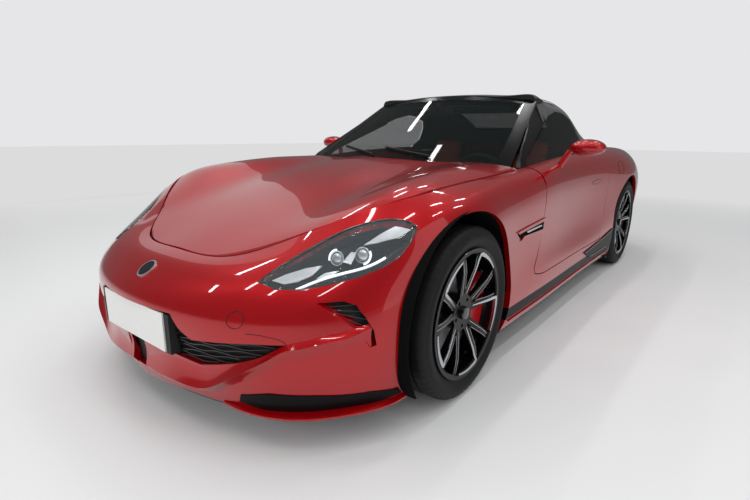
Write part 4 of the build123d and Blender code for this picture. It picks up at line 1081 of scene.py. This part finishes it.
SILL_EDGE = [(y, 0.190) for y in np.linspace(-0.94, 0.92, 14)]
HANDLE = [(0.36, 0.742), (0.40, 0.756), (0.52, 0.760), (0.56, 0.748), (0.52, 0.735), (0.40, 0.731)]


def side_line(name, points, lift, radius, body, material, sign, closed=False):
    """A line laid on the side through (y, z) points."""
    line(name, raised([on_side(*p) for p in points], lift), radius, body, material, closed=closed,
         flip=sign)


for side, sign in BOTH_SIDES:
    for name, (outline, lift, depth, material, slot) in SIDE_PLATES.items():
        plate(name + "_" + side, outline, on_side, lift, depth, "car_body", material, slot, 0.03, sign)
    for k, points in enumerate(FIN_LINES):
        side_line("fin_line_%d_%s" % (k, side), points, 0.0075, 0.0025, "car_body", alloy_silver,
                  sign)
    side_line("sill_edge_" + side, SILL_EDGE, 0.004, 0.005, "car_body", paint, sign)
    door = "door_" + side
    plate("door_handle_" + side, HANDLE, on_side, 0.0012, 0.004, door, paint, "body_paint", 0.02, sign)
    side_line("door_handle_seam_" + side, HANDLE, 0.0006, 0.0013, door, seal_rubber, sign,
              closed=True)

# %% [markdown]
# ## Wheels
# The wheels are cast, painted black, and then turned so that hooks and edges of the spokes come out
# bright. Two materials on one mesh would need faces exactly along those edges, so each bright edge is a
# thin band of its own, a little proud of the face, which sinks towards the hub.

# %% A wheel's place and face
SPOKES = 5
FACE_INSET = 0.016  # from the tyre's wall in to the spokes' face
FLAT_RADIUS, HUB_REACH, HUB_SINK = 0.190, 0.116, 0.024  # inside the flat radius the face sinks
BAND_HIGH, BAND_LOW = 0.0016, -0.003
RISE_FROM, RISE_OVER = 0.215, 0.025  # where a band climbs onto the rim's edge


class Wheel:
    """One wheel's place and size, and points on its face."""

    def __init__(self, end, side, sign, axle, radius, half_width):
        self.name, self.tyre_node = end + "_" + side, "%s_tyre_%s" % (end, side)
        self.body = "wheel_" + self.name
        self.sign, self.radius, self.half = sign, radius, half_width
        self.centre = Vector((sign * WHEEL_X, axle / MM, radius))
        self.face = half_width - FACE_INSET

    def point(self, turn, across, out, lift):
        """A point by its distance across and along a spoke, and above the face."""
        sunk = HUB_SINK * min(1, max(0, (FLAT_RADIUS - math.hypot(out, across)) / HUB_REACH))
        c, s = math.cos(turn), math.sin(turn)
        x = self.sign * (self.face - sunk + lift)
        return self.centre + Vector((x, across * c + out * s, out * c - across * s))


def band(wheel, name, turn, path, widths, rise=0.0):
    """A flat bright band along a path of (across, out) points on the wheel's face; its far part may rise."""
    build = bmesh.new()
    rows = []
    for k, (across, out) in enumerate(path):
        before, after = path[max(k - 1, 0)], path[min(k + 1, len(path) - 1)]
        ahead = Vector((after[0] - before[0], after[1] - before[1])).normalized()
        aside = Vector((-ahead.y, ahead.x)) * widths[k] / 2
        high = BAND_HIGH + rise * min(1, max(0, (math.hypot(across, out) - RISE_FROM) / RISE_OVER))
        rows.append([build.verts.new(wheel.point(turn, across + way * aside.x, out + way * aside.y, lift))
                     for lift in (high, BAND_LOW) for way in (1, -1)])
    for a, b in zip(rows, rows[1:]):
        for i, j in ((0, 1), (1, 3), (3, 2), (2, 0)):
            build.faces.new((a[i], a[j], b[j], b[i]))
    for row in (rows[0], rows[-1]):
        build.faces.new((row[0], row[1], row[3], row[2]))
    bmesh.ops.recalc_face_normals(build, faces=build.faces)
    from_bmesh(name, build, wheel.body, alloy_silver, "wheel_alloy")


# %% Bright bands, cap, bolts and rim edge
HOOK_RADIUS, HOOK_RISE = 0.2450, 0.0075
EDGE_WIDTH, LINE_WIDTH = 0.0022, 0.0016
CAP_RADIUS, BOLT_CIRCLE = 0.0272, 0.056


def spoke(wheel, k):
    """The hook, the outer edge and the two fine lines of one spoke."""
    name, turn = "%s_%d" % (wheel.name, k), wheel.sign * 2 * math.pi * k / SPOKES
    shank = [(0.017 + 0.052 * t, 0.078 + 0.156 * t) for t in np.linspace(0, 1, 8)]
    arc = [(HOOK_RADIUS * math.sin(a), HOOK_RADIUS * math.cos(a))
           for a in np.radians(np.linspace(19, 52, 12))]
    widths = [*np.linspace(0.004, 0.014, 8), *np.linspace(0.017, 0.007, 12)]
    band(wheel, "spoke_hook_" + name, turn, shank + arc, widths, HOOK_RISE)
    shares = np.linspace(0, 1, 6)
    edge = [(-0.017 - 0.052 * t, 0.078 + 0.160 * t) for t in shares]
    band(wheel, "spoke_edge_" + name, turn, edge, [EDGE_WIDTH] * len(edge))
    for lean in (-1, 1):
        fine = [(lean * (0.004 + 0.044 * t), 0.100 + 0.130 * t) for t in shares]
        band(wheel, "spoke_line_%s_%d" % (name, lean + 1), turn, fine, [LINE_WIDTH] * len(fine))


def hub_and_rim(wheel):
    """The plain cap, the wheel bolts and the rim's rounded edge."""
    face, half = wheel.face, wheel.half
    cap = [(face - 0.040, CAP_RADIUS), (face - 0.012, CAP_RADIUS), (face - 0.008, 0.024),
           (face - 0.006, 0.012), (face - 0.0055, 0.0005), (face - 0.040, 0.0005)]
    bolt = [(face - 0.050, 0.0068), (face - 0.034, 0.0068), (face - 0.032, 0.0055), (face - 0.032, 0.0005),
            (face - 0.050, 0.0005)]
    edge = [(half - 0.0085, 0.2565), (half - 0.0065, 0.2665), (half - 0.0090, 0.2685),
            (half - 0.0110, 0.2585)]
    lathe("wheel_cap_" + wheel.name, cap, wheel.body, wheel.centre, piano_black, "wheel_alloy", 40,
          wheel.sign)
    for k in range(SPOKES):
        turn = 2 * math.pi * (k + 0.5) / SPOKES
        place = wheel.centre + BOLT_CIRCLE * Vector((0, math.sin(turn), math.cos(turn)))
        lathe("wheel_bolt_%s_%d" % (wheel.name, k), bolt, wheel.body, place, steel, "steel", 6, wheel.sign)
    lathe("rim_edge_" + wheel.name, edge, wheel.body, wheel.centre, alloy_black, "wheel_alloy", 96,
          wheel.sign)


# %% [markdown]
# A tyre is moulded in one piece: bulged walls, a flat tread with grooves round it, and notches across its
# shoulders. A boolean cutter could make each notch. It is simpler to turn the whole profile in many steps
# and then press in the shoulder at every third one.

# %% Tyres
GROOVES, GROOVE_DEPTH = 4, 0.007
TURN_STEPS, NOTCH_EVERY, NOTCH_DEPTH = 180, 3, 0.0035


def tyre(wheel):
    """A tyre with grooves round it and notched shoulders, in place of its solid."""
    half, radius = wheel.half, wheel.radius
    bead = half - 0.021
    wall = [(bead, 0.2555), (bead + 0.005, 0.2695), (half - 0.0045, 0.292), (half - 0.0005, 0.305),
            (half, 0.314), (half - 0.003, 0.3215), (half - 0.0045, 0.3225), (half - 0.006, radius - 0.024),
            (half - 0.012, radius - 0.0115), (half - 0.020, radius - 0.004), (half - 0.032, radius)]
    tread, tread_half = [], half - 0.034
    for k in range(GROOVES):
        middle = tread_half - 2 * tread_half * (k + 0.8) / (GROOVES + 0.6)
        tread += [(middle + 0.005, radius), (middle + 0.004, radius - GROOVE_DEPTH),
                  (middle - 0.004, radius - GROOVE_DEPTH), (middle - 0.005, radius)]
    inner = [(-bead + 0.012, 0.2555), (-half + 0.018, 0.292), (-half + 0.016, 0.314),
             (-half + 0.032, radius - 0.014)]
    profile = wall + tread + mirror_profile(wall) + inner + mirror_profile(inner)
    build = turned(profile, wheel.centre, wheel.sign, TURN_STEPS)
    for vert in build.verts:
        x, y, z = vert.co - wheel.centre
        step = round(math.atan2(y, z) / (2 * math.pi) * TURN_STEPS)
        if step % NOTCH_EVERY == 0 and abs(x) > half - 0.036 and math.hypot(y, z) > radius - 0.013:
            vert.co -= Vector((0, y, z)).normalized() * NOTCH_DEPTH
    piece = from_bmesh("tyre_" + wheel.name, build, wheel.body, tyre_rubber, "tyre_rubber", 28)
    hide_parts(wheel.tyre_node)


def mirror_profile(profile):
    """A profile's other half, in the order that goes on from it."""
    return [(-x, radius) for x, radius in profile[::-1]]


# %% The four wheels
for side, sign in BOTH_SIDES:
    for end, axle, radius, half_width in (("front", FRONT_AXLE, FRONT_RADIUS, 0.1225),
                                          ("rear", REAR_AXLE, REAR_RADIUS, 0.1375)):
        wheel = Wheel(end, side, sign, axle, radius, half_width)
        for k in range(SPOKES):
            spoke(wheel, k)
        hub_and_rim(wheel)
        tyre(wheel)

# %% [markdown]
# ## Door mirrors
# A mirror's shell is painted above and black below, with the glass set in its rear face. The black seam
# runs round the shell under its widest line. The glass is a thin elliptic plate with a rim.

# %% Door mirrors
MIRROR_PLACE = Vector((0.968, -0.122, 0.982))
MIRROR_TURN = math.radians(12)
MIRROR_ALONG = Vector((math.cos(MIRROR_TURN), math.sin(MIRROR_TURN), 0))
MIRROR_AHEAD = Vector((math.sin(MIRROR_TURN), -math.cos(MIRROR_TURN), 0))
MIRROR_HALF, SEAM_DROP = 0.0925, -0.020
# share of the half width, and how far ahead
SEAM_ROUTE = ((0.90, 0.0), (0.86, 0.043), (0.62, 0.072), (0.2, 0.088))


def mirror_ring(wide, high, ahead):
    """Points of an ellipse across the mirror."""
    return [MIRROR_PLACE + MIRROR_ALONG * x + Vector((0, 0, z)) + MIRROR_AHEAD * ahead
            for x, z in ring(40, wide, high)]


for side, sign in BOTH_SIDES:
    body = "door_" + side
    route = [(-share, ahead) for share, ahead in SEAM_ROUTE] + list(SEAM_ROUTE[::-1])
    seam = [MIRROR_PLACE + MIRROR_ALONG * MIRROR_HALF * share + Vector((0, 0,
                                                                        SEAM_DROP)) + MIRROR_AHEAD * ahead
            for share, ahead in route]
    line("mirror_seam_" + side, seam, 0.003, body, piano_black, flip=sign)
    build = bmesh.new()
    outer, inner = [[build.verts.new(p) for p in mirror_ring(0.084, 0.038, ahead)]
                    for ahead in (-0.0012, 0.002)]
    build.faces.new(outer)
    build.faces.new(inner[::-1])
    for k in range(len(outer)):
        build.faces.new((outer[k - 1], outer[k], inner[k], inner[k - 1]))
    bmesh.ops.scale(build, vec=(sign, 1, 1), verts=build.verts)
    bmesh.ops.recalc_face_normals(build, faces=build.faces)
    from_bmesh("mirror_glass_" + side, build, body, mirror_silver, "screen_glass")
    rim = mirror_ring(0.0885, 0.0425, -0.001)
    line("mirror_rim_" + side, rim, 0.0035, body, piano_black, closed=True, flip=sign)

# %% [markdown]
# ## Wipers and cabin mirror
# The windscreen is a flat curve that narrows and sweeps back at its sides. A ray could find places on it,
# but a short formula gives them by share of its width and height, which is how a wiper's sweep is drawn.

# %% Wipers and cabin mirror
SCREEN_HALF, SCREEN_TAPER = 0.710, 0.110  # half width at the foot, and how much less at the top
SCREEN_FOOT, SCREEN_RUN = -0.720, 0.660  # y at the foot, and how much further back the top is
SCREEN_SWEEP, SWEEP_TAPER = 0.180, 0.100  # how far back the sides are, and how much less at the top
SCREEN_LOW, SCREEN_RISE = 0.930, 0.367
CORNER_DROP, DROP_GROWTH = 0.010, 0.035  # how much lower the sides are, and how much more at the top
WIPERS = (((0.42, -0.01), (-0.06, 0.10)), ((-0.12, -0.01), (-0.62, 0.12)))  # pivot and tip, as shares
ARM_OFF_GLASS, BLADE_OFF_ARM = Vector((0, -0.012, 0.006)), Vector((0, -0.001, -0.008))


def screen_point(out, up_):
    """A point of the windscreen's outer face: out is the share of the half width, up_ of the height."""
    return Vector((out * (SCREEN_HALF - SCREEN_TAPER * up_),
                   SCREEN_FOOT + SCREEN_RUN * up_ + out * out * (SCREEN_SWEEP - SWEEP_TAPER * up_),
                   SCREEN_LOW + SCREEN_RISE * up_ - out * out * (CORNER_DROP + DROP_GROWTH * up_)))


for k, (pivot, tip) in enumerate(WIPERS):
    arm = [screen_point(*Vector(pivot).lerp(Vector(tip), t)) + ARM_OFF_GLASS for t in np.linspace(0, 1, 7)]
    line("wiper_arm_%d" % k, arm, 0.0055, "car_body", grained_black)
    line("wiper_blade_%d" % k, [p + BLADE_OFF_ARM for p in arm[2:]], 0.004, "car_body", seal_rubber)
cabin_mirror = screen_point(0, 0.80) + Vector((0, 0.075, -0.035))
# half height at each place across, and the section as (y, share of the half height)
MIRROR_ROWS = ((-0.112, 0.012), (-0.105, 0.026), (-0.06, 0.031), (0, 0.032), (0.06, 0.031), (0.105, 0.026),
               (0.112, 0.012))
MIRROR_SECTION = ((0.010, 0.9), (0.010, -0.9), (-0.004, -1), (-0.020, -0.5), (-0.020, 0.5), (-0.004, 1))
rows = [[cabin_mirror + Vector((x, y, share * half)) for y, share in MIRROR_SECTION] for x,
        half in MIRROR_ROWS]
loft("cabin_mirror", rows, "car_body", piano_black, "black_gloss", 30)
stalk = [cabin_mirror + Vector((0, -0.015, 0.01)), cabin_mirror + Vector((0, -0.045, 0.035)),
         screen_point(0, 0.87) + Vector((0, 0.010, -0.004))]
line("cabin_mirror_stalk", stalk, 0.008, "car_body", piano_black)

# %% [markdown]
# ## Seams of the roof
# The cloth is sewn from panels, and its seams lie over the bows and along the sides. Each is a thin bar of
# the same cloth, a little proud of it. A rubber piping closes the front edge over the screen.

# %% Seams of the roof
SEAM_LIFT, SEAM_RADIUS = 0.0008, 0.0022
# y in the middle, and how much further back it is at 0.55 m from the middle
CROSS_SEAMS = ((0.165, 0.03), (0.60, -0.02), (0.70, -0.02))


def on_roof(x, y):
    return roof_skin.cast((x, y, OVER_TOP), DOWN)


for k, (y, bow) in enumerate(CROSS_SEAMS):
    run = [on_roof(x, y + bow * (x / 0.55) ** 2) for x in np.linspace(-0.56, 0.56, 25)]
    line("roof_seam_%d" % k, raised(run, SEAM_LIFT), SEAM_RADIUS, "car_body", canvas)
side_seam = [on_roof(0.545 - 0.02 * max(0, y - 0.5), y) for y in np.linspace(0.04, 1.22, 22)]
for side, sign in BOTH_SIDES:
    line("roof_side_seam_" + side, raised(side_seam, SEAM_LIFT), SEAM_RADIUS, "car_body", canvas,
         flip=sign)
header = [on_roof(x, -0.054 + 0.080 * (x / 0.6) ** 2) for x in np.linspace(-0.58, 0.58, 33)]
line("roof_header_piping", raised(header, 0.001), 0.003, "car_body", seal_rubber)

# %% [markdown]
# ## Seats
# A seat's leather cover is sewn tight over foam, so it bulges between its seams. Sculpting could show
# that, but a short cloth simulation with pressure inside does it by itself: a rounded block swells as a
# stuffed cover does, and no point may move further than the foam would let it.

# %% Pads that swell
BOX_CUTS = 7
CORNER_ROUND, SIDE_ROUND = 0.05, 0.12
VOXEL, PRESSURE, SWELL_FRAMES, STUFFING = 0.016, 4, 12, 0.75


def pad_shape(size, widths):
    """A rounded block of a size; widths scale it across, from its foot to its top."""
    build = bmesh.new()
    bmesh.ops.create_cube(build, size=1.0)
    bmesh.ops.subdivide_edges(build, edges=build.edges, cuts=BOX_CUTS, use_grid_fill=True)
    for vert in build.verts:
        x, y, z = vert.co
        corner = 1 - CORNER_ROUND * (abs(2 * x) ** 4 + abs(2 * z) ** 4)
        thin = 1 - SIDE_ROUND * abs(2 * x) ** 4
        vert.co = Vector((x * size[0] * corner, y * size[1] * thin, z * size[2] * corner))
        vert.co.x *= np.interp(z + 0.5, np.linspace(0, 1, len(widths)), widths)
    return build


def as_it_looks(thing):
    """A new mesh of an object with its modifiers applied."""
    return bpy.data.meshes.new_from_object(thing.evaluated_get(bpy.context.evaluated_depsgraph_get()))


def swell(pad, most):
    """Lets a pad swell like a stuffed cover, each point by the given distance at most."""
    remesh = pad.modifiers.new("remesh", "REMESH")
    remesh.mode = "VOXEL"
    remesh.voxel_size = VOXEL
    bpy.context.view_layer.update()
    start = as_it_looks(pad)
    pad.modifiers.clear()
    pad.data = start
    cloth = pad.modifiers.new("cloth", "CLOTH")
    cloth.settings.use_pressure = True
    cloth.settings.uniform_pressure_force = PRESSURE
    cloth.settings.effector_weights.gravity = 0
    for step in range(1, SWELL_FRAMES + 1):
        bpy.context.scene.frame_set(step)
    swollen = as_it_looks(pad)
    pad.modifiers.clear()
    for before, after in zip(start.vertices, swollen.vertices):
        shift = after.co - before.co
        if shift.length > most:
            after.co = before.co + shift * (most / shift.length)
    pad.data = swollen
    bpy.context.scene.frame_set(1)


def padded_piece(name, build, move, most):
    """Puts a pad in place, lets it swell and covers it with leather."""
    bmesh.ops.transform(build, matrix=move, verts=build.verts)
    bmesh.ops.recalc_face_normals(build, faces=build.faces)
    mesh = bpy.data.meshes.new(name)
    build.to_mesh(mesh)
    build.free()
    pad = bpy.data.objects.new(name, mesh)
    bpy.context.scene.collection.objects.link(pad)
    swell(pad, most)
    pad.data.name = name
    pad.data.materials.clear()
    pad.data.materials.append(tan_leather)
    pad.data.shade_smooth()
    level = pad.modifiers.new("smooth", "SUBSURF")
    level.levels = level.render_levels = 1
    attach(pad, "car_body")
    return pad


# %% Both seats
SEAT_X = 0.365
SEAT_TILT, BACK_LEAN = [Matrix.Rotation(math.radians(angle), 4, "X") for angle in (-8, -24)]
# piece, x from the seat's middle, size, widths from foot to top, (y, z), tilt, furthest swelling
PADS = (
    ("seat_cushion", 0, (0.44, 0.44, 0.105), (1, 1), (0.165, 0.405), SEAT_TILT, 0.012),
    ("seat_bolster_0", -0.205, (0.075, 0.42, 0.085), (1, 0.8), (0.160, 0.452), SEAT_TILT, 0.008),
    ("seat_bolster_2", 0.205, (0.075, 0.42, 0.085), (1, 0.8), (0.160, 0.452), SEAT_TILT, 0.008),
    ("seat_back", 0, (0.42, 0.10, 0.50), (0.96, 1, 1, 0.92, 0.72), (0.520, 0.680), BACK_LEAN, 0.012),
    ("seat_wing_0", -0.200, (0.070, 0.11, 0.36), (0.8, 1, 0.7), (0.470, 0.660), BACK_LEAN, 0.008),
    ("seat_wing_2", 0.200, (0.070, 0.11, 0.36), (0.8, 1, 0.7), (0.470, 0.660), BACK_LEAN, 0.008),
    ("head_rest", 0, (0.25, 0.085, 0.14), (1, 1, 0.85), (0.655, 0.935), BACK_LEAN, 0.008),
)
# the hard shell under the pads: y, z, half width, half thickness
SHELL = ((-0.060, 0.335, 0.190, 0.020), (0.10, 0.318, 0.215, 0.034), (0.40, 0.320, 0.220, 0.036),
         (0.52, 0.400, 0.222, 0.040), (0.590, 0.560, 0.222, 0.030), (0.665, 0.740, 0.212, 0.024),
         (0.712, 0.880, 0.165, 0.020), (0.722, 0.950, 0.125, 0.014))
STITCHES, STITCH_GAP = 5, 0.062

for side, sign in BOTH_SIDES:
    seat_x = sign * SEAT_X
    for name, across, size, widths, (y, z), tilt, most in PADS:
        move = Matrix.Translation((seat_x + across, y, z)) @ tilt
        padded_piece(name + "_" + side, pad_shape(size, widths), move, most)
    rows = [[(seat_x + x, y, z + rise) for x, rise in (
        (-half, -deep), (half, -deep), (half + 0.008, 0), (half - 0.01, deep), (0.01 - half, deep),
        (-half - 0.008, 0))]
        for y, z, half, deep in SHELL]
    loft("seat_shell_" + side, rows, "car_body", grained_black, "seat_leather", 50, 30)
    for k in range(STITCHES):
        run = [(seat_x + (k - 2) * STITCH_GAP, -0.02 + 0.36 * t,
                0.4685 + 0.052 * (t - 0.5) + 0.006 * math.sin(math.pi * t)) for t in np.linspace(0, 1, 8)]
        line("seat_stitch_%d_%s" % (k, side), run, 0.0022, "car_body", dark_leather)
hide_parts("seats")  # the right cushion, the last one made

# %% [markdown]
# ## Cabin
# Displays, soft pads and panels are flat pieces with rounded edges. A cube could be scaled for each, but
# most of them lean, so a slab goes through four corners, gets its thickness and has every edge bevelled.

# %% Cabin
def slab(name, corners, thickness, body, material, slot, bevel=0.003):
    """A bevelled plate through four corners, given anticlockwise seen from outside."""
    build = bmesh.new()
    face = build.faces.new([build.verts.new(c) for c in corners])
    build.normal_update()
    bmesh.ops.solidify(build, geom=[face], thickness=thickness)
    bmesh.ops.bevel(build, geom=list(build.edges), offset=bevel, affect="EDGES", segments=2, profile=0.5,
                    material=-1)
    bmesh.ops.recalc_face_normals(build, faces=build.faces)
    return from_bmesh(name, build, body, material, slot)


# piece, x from and to, lower edge (y, z), upper edge (y, z), thickness, material, bevel
for name, (x0, x1), low, high, thickness, material, bevel in (
        ("driver_display", (0.20, 0.53), (-0.352, 0.790), (-0.385, 0.875), 0.012, screen_face, 0.003),
        ("centre_display", (-0.14, 0.14), (-0.345, 0.700), (-0.372, 0.850), 0.012, screen_face, 0.003),
        ("dash_lower_pad", (-0.64, -0.16), (-0.336, 0.690), (-0.342, 0.780), 0.010, tan_leather, 0.003),
        ("console_armrest", (-0.085, 0.085), (0.02, 0.540), (0.29, 0.528), 0.022, tan_leather, 0.008),
        ("console_panel", (-0.075, 0.075), (-0.36, 0.582), (-0.02, 0.543), 0.008, piano_black, 0.003)):
    corners = [(x0, *low), (x1, *low), (x1, *high), (x0, *high)]
    slab(name, corners, thickness, "car_body", material, "dash_leather", bevel)
for k, ends in enumerate(((-0.62, -0.16), (-0.155, 0.155), (0.17, 0.56))):
    run = [(x, -0.349, 0.795) for x in np.linspace(*ends, 6)]
    line("dash_trim_%d" % k, run, 0.005, "car_body", alloy_silver)
DOOR_INNER, ARMREST_INNER = 0.743, 0.738
CARD = ((-0.40, 0.56), (0.47, 0.56), (0.50, 0.80), (-0.40, 0.80))
# the armrest's section as (reach, z), and its reach along the door as (y, share)
ARMREST = ((0, 0.62), (0.035, 0.625), (0.042, 0.640), (0.035, 0.652), (0, 0.655))
ARMREST_RUN = ((-0.25, 0.4), (-0.20, 1), (0.15, 1), (0.22, 0.4))
for side, sign in BOTH_SIDES:
    corners = [(sign * DOOR_INNER, y, z) for y, z in CARD][::-sign]
    slab("door_card_" + side, corners, 0.010, "door_" + side, tan_leather, "dash_leather", 0.004)
    rows = [[(sign * (ARMREST_INNER - reach * share), y, z) for reach, z in ARMREST] for y,
            share in ARMREST_RUN]
    loft("door_armrest_" + side, rows, "door_" + side, dark_leather, "dash_leather", 24)

# %% [markdown]
# ## Tail
# A light bar runs across the dark lamp, with an arrow of light at each end. Below it sit two reflectors,
# and fins stand under the diffuser. The lamp's lines have sharp corners that a smooth curve would round
# off, so each straight stretch is filled with points before it is laid on the tail.

# %% Tail lamps
LAMP_SLOT = [(0.560, 0.745), (0.640, 0.715), (0.790, 0.760), (0.640, 0.812), (0.560, 0.790)]
LIGHT_BAR = [(x, 0.767) for x in (-0.62, -0.3, 0.0, 0.3, 0.62)]
ARROW = ((0.60, 0.737), (0.765, 0.762), (0.60, 0.798))
REFLECTOR = [(0.50, 0.345), (0.66, 0.352), (0.66, 0.372), (0.50, 0.363)]


def tail_line(name, points, lift, radius, material, closed=False):
    """A fine bar laid on the tail through (x, z) points, which keeps their corners."""
    ends = points[1:] + points[:1] if closed else points[1:]
    dense = [Vector(a).lerp(Vector(b), t) for a, b in zip(points, ends) for t in np.linspace(0, 0.9, 8)]
    if not closed:
        dense.append(Vector(points[-1]))
    run = raised([on_tail(*p) for p in dense], lift)
    line(name, run, radius, "car_body", material, closed=closed)


tail_line("tail_light_bar", LIGHT_BAR, 0.001, 0.0055, red_light)
tail_line("tail_lamp_rim", LAMP_SLOT + mirror_profile(LAMP_SLOT), 0.0008, 0.004, piano_black,
          closed=True)
for side, sign in BOTH_SIDES:
    arrow = [(sign * x, z) for x, z in ARROW]
    tail_line("tail_light_arrow_" + side, arrow, 0.001, 0.0045, red_light)
    # the reflectors share the red lens and its faint painted glow
    plate("rear_reflector_" + side, REFLECTOR, on_tail, 0.002, 0.004, "car_body", red_lens_painted_glow, "lamp_red", 0.02,
          sign)

# %% Diffuser fins, high brake lamp and charge flap
FINS, FIN_GAP = 5, 0.15
FIN_OUTLINE = ((1.90, 0.148), (2.17, 0.202), (2.17, 0.160), (1.98, 0.122))
FLAP_Y, FLAP_Z, FLAP_LONG, FLAP_HIGH = 1.02, 0.815, 0.060, 0.045

for k in range(FINS):
    x = FIN_GAP * (k - 2)
    slab("diffuser_fin_%d" % k, [(x, *p) for p in FIN_OUTLINE], 0.008, "car_body", grained_black,
         "black_trim", 0.002)
brake_run = [deck_skin.cast((x, 2.150, OVER_TOP), DOWN) for x in np.linspace(-0.14, 0.14, 9)]
line("high_brake_lamp", raised(brake_run, 0.0005), 0.004, "boot_lid", red_lens_painted_glow)


def rounded(share):
    """Pushes a circle's share out towards a square's."""
    return math.copysign(abs(share) ** 0.5, share)


flap = [on_side(FLAP_Y + FLAP_LONG * rounded(y), FLAP_Z + FLAP_HIGH * rounded(z)) for y, z in ring(40, 1, 1)]
line("charge_flap_seam", raised(flap, 0.0003), 0.0012, "car_body", seal_rubber, closed=True)

# %% [markdown]
# ## Floor
# A studio floor is painted pale and curves up into the wall, so no horizon shows. A curved backdrop would
# need a large mesh behind the car. A flat floor does as well when its far part turns into plain light of
# the backdrop's colour, for camera rays only, while the near part keeps the car's shadow.

# %% Floor
FLOOR_HALF, FADE_FROM, FADE_TO = 40, 2.2, 7.0
floor_paint = bpy.data.materials.new("pale floor")
floor_paint.use_nodes = True
floor_paint.node_tree.nodes.clear()
where = add(floor_paint, "ShaderNodeTexCoord").outputs["Object"]
far = add(floor_paint, "ShaderNodeVectorMath", {0: where}, operation="LENGTH").outputs["Value"]
fade = add(floor_paint, "ShaderNodeMapRange", {"Value": far, "From Min": FADE_FROM, "From Max": FADE_TO},
           clamp=True)
lit_floor = add(floor_paint, "ShaderNodeBsdfPrincipled", {"Base Color": colour("E8E8E8"), "Roughness": 0.5,
                                                          "Specular IOR Level": 0.25})
far_floor = add(floor_paint, "ShaderNodeEmission", {"Color": colour("DCDCDD"), "Strength": 1.0})
path = add(floor_paint, "ShaderNodeLightPath")
share = add(floor_paint, "ShaderNodeMath", {0: fade.outputs[0], 1: path.outputs["Is Camera Ray"]},
            operation="MULTIPLY")
mixed = add(floor_paint, "ShaderNodeMixShader",
            {0: share.outputs[0], 1: lit_floor.outputs[0], 2: far_floor.outputs[0]})
add(floor_paint, "ShaderNodeOutputMaterial", {0: mixed.outputs[0]})
build = bmesh.new()
bmesh.ops.create_grid(build, x_segments=1, y_segments=1, size=FLOOR_HALF)
floor_mesh = bpy.data.meshes.new("studio_floor")
build.to_mesh(floor_mesh)
build.free()
floor_mesh.materials.append(floor_paint)
floor = bpy.data.objects.new("studio_floor", floor_mesh)
bpy.context.scene.collection.objects.link(floor)
print("floor:", 2 * FLOOR_HALF, "m wide, fades from", FADE_FROM, "to", FADE_TO, "m")

# %% [markdown]
# ## Backdrop
# The room is a plain pale grey. One even world colour would light the car flatly and wash out its
# reflections, so the ray decides: the camera and glass see the backdrop's own colour, glossy rays a dim
# room that leaves the lamps' glints clear, and the rest a soft even light.

# %% Backdrop
SHOWN, EVEN_LIGHT, IN_GLOSS = 1.0, 0.5, 0.15  # strengths
world = bpy.data.worlds.new("studio")
world.use_nodes = True
world.node_tree.nodes.clear()
shown = add(world, "ShaderNodeBackground", {"Color": colour("E6E6E8"), "Strength": SHOWN})
lit = add(world, "ShaderNodeBackground", {"Color": colour("F4F6F8"), "Strength": EVEN_LIGHT})
path = add(world, "ShaderNodeLightPath")
dim = add(world, "ShaderNodeBackground", {"Color": colour("F4F6F8"), "Strength": IN_GLOSS})
seen = add(world, "ShaderNodeMath", {0: path.outputs["Is Camera Ray"],
                                     1: path.outputs["Is Transmission Ray"]},
           operation="MAXIMUM")
glints = add(world, "ShaderNodeMixShader", {0: path.outputs["Is Glossy Ray"], 1: lit.outputs[0],
                                            2: dim.outputs[0]})
mixed = add(world, "ShaderNodeMixShader", {0: seen.outputs[0], 1: glints.outputs[0], 2: shown.outputs[0]})
add(world, "ShaderNodeOutputWorld", {0: mixed.outputs[0]})
bpy.context.scene.world = world
print("backdrop:", len(world.node_tree.nodes), "nodes")

# %% [markdown]
# ## Lamps
# Rows of short tubes under the ceiling give the paint its broken white glints, and three large soft walls
# fill the sides. One big ceiling panel would be simpler and would give the same brightness, but only one
# broad glare.

# %% Lamps
TUBE_ROWS, TUBE_COLUMNS, CEILING = 5, 4, 4.2
ROW_GAP, COLUMN_GAP, STAGGER = 1.3, 2.0, 0.5
TUBE_SIZE, TUBE_POWER = (0.12, 0.9), 9


def lamp(name, place, target, size, power):
    """A soft rectangular light that looks at a target."""
    data = bpy.data.lights.new(name, "AREA")
    data.shape = "RECTANGLE"
    data.size, data.size_y = size
    data.energy = power
    light = bpy.data.objects.new(name, data)
    light.location = place
    light.rotation_euler = (Vector(target) - Vector(place)).to_track_quat("-Z", "Y").to_euler()
    bpy.context.scene.collection.objects.link(light)
    return light


for row in range(TUBE_ROWS):
    for column in range(TUBE_COLUMNS):
        place = (-2.6 + ROW_GAP * row, -4.0 + COLUMN_GAP * column + STAGGER * (row % 2), CEILING)
        lamp("tube_%d_%d" % (row, column), place, (place[0], place[1], 0), TUBE_SIZE, TUBE_POWER)
lamp("left_wall", (5.5, -0.5, 2.6), (0, -0.3, 0.4), (3.0, 6.0), 48)
lamp("front_wall", (0.6, -7.5, 2.8), (0, -1.5, 0.5), (8.0, 3.4), 120).visible_glossy = False
lamp("right_wall", (-5.5, 0.5, 2.8), (0, 0, 0.8), (3.0, 7.0), 35)
print("lamps:", len(bpy.data.lights))

# %% [markdown]
# ## Last lines
# The standard view keeps colours as they are written.

# %% Last lines
scene = bpy.context.scene
scene.view_settings.view_transform = "Standard"
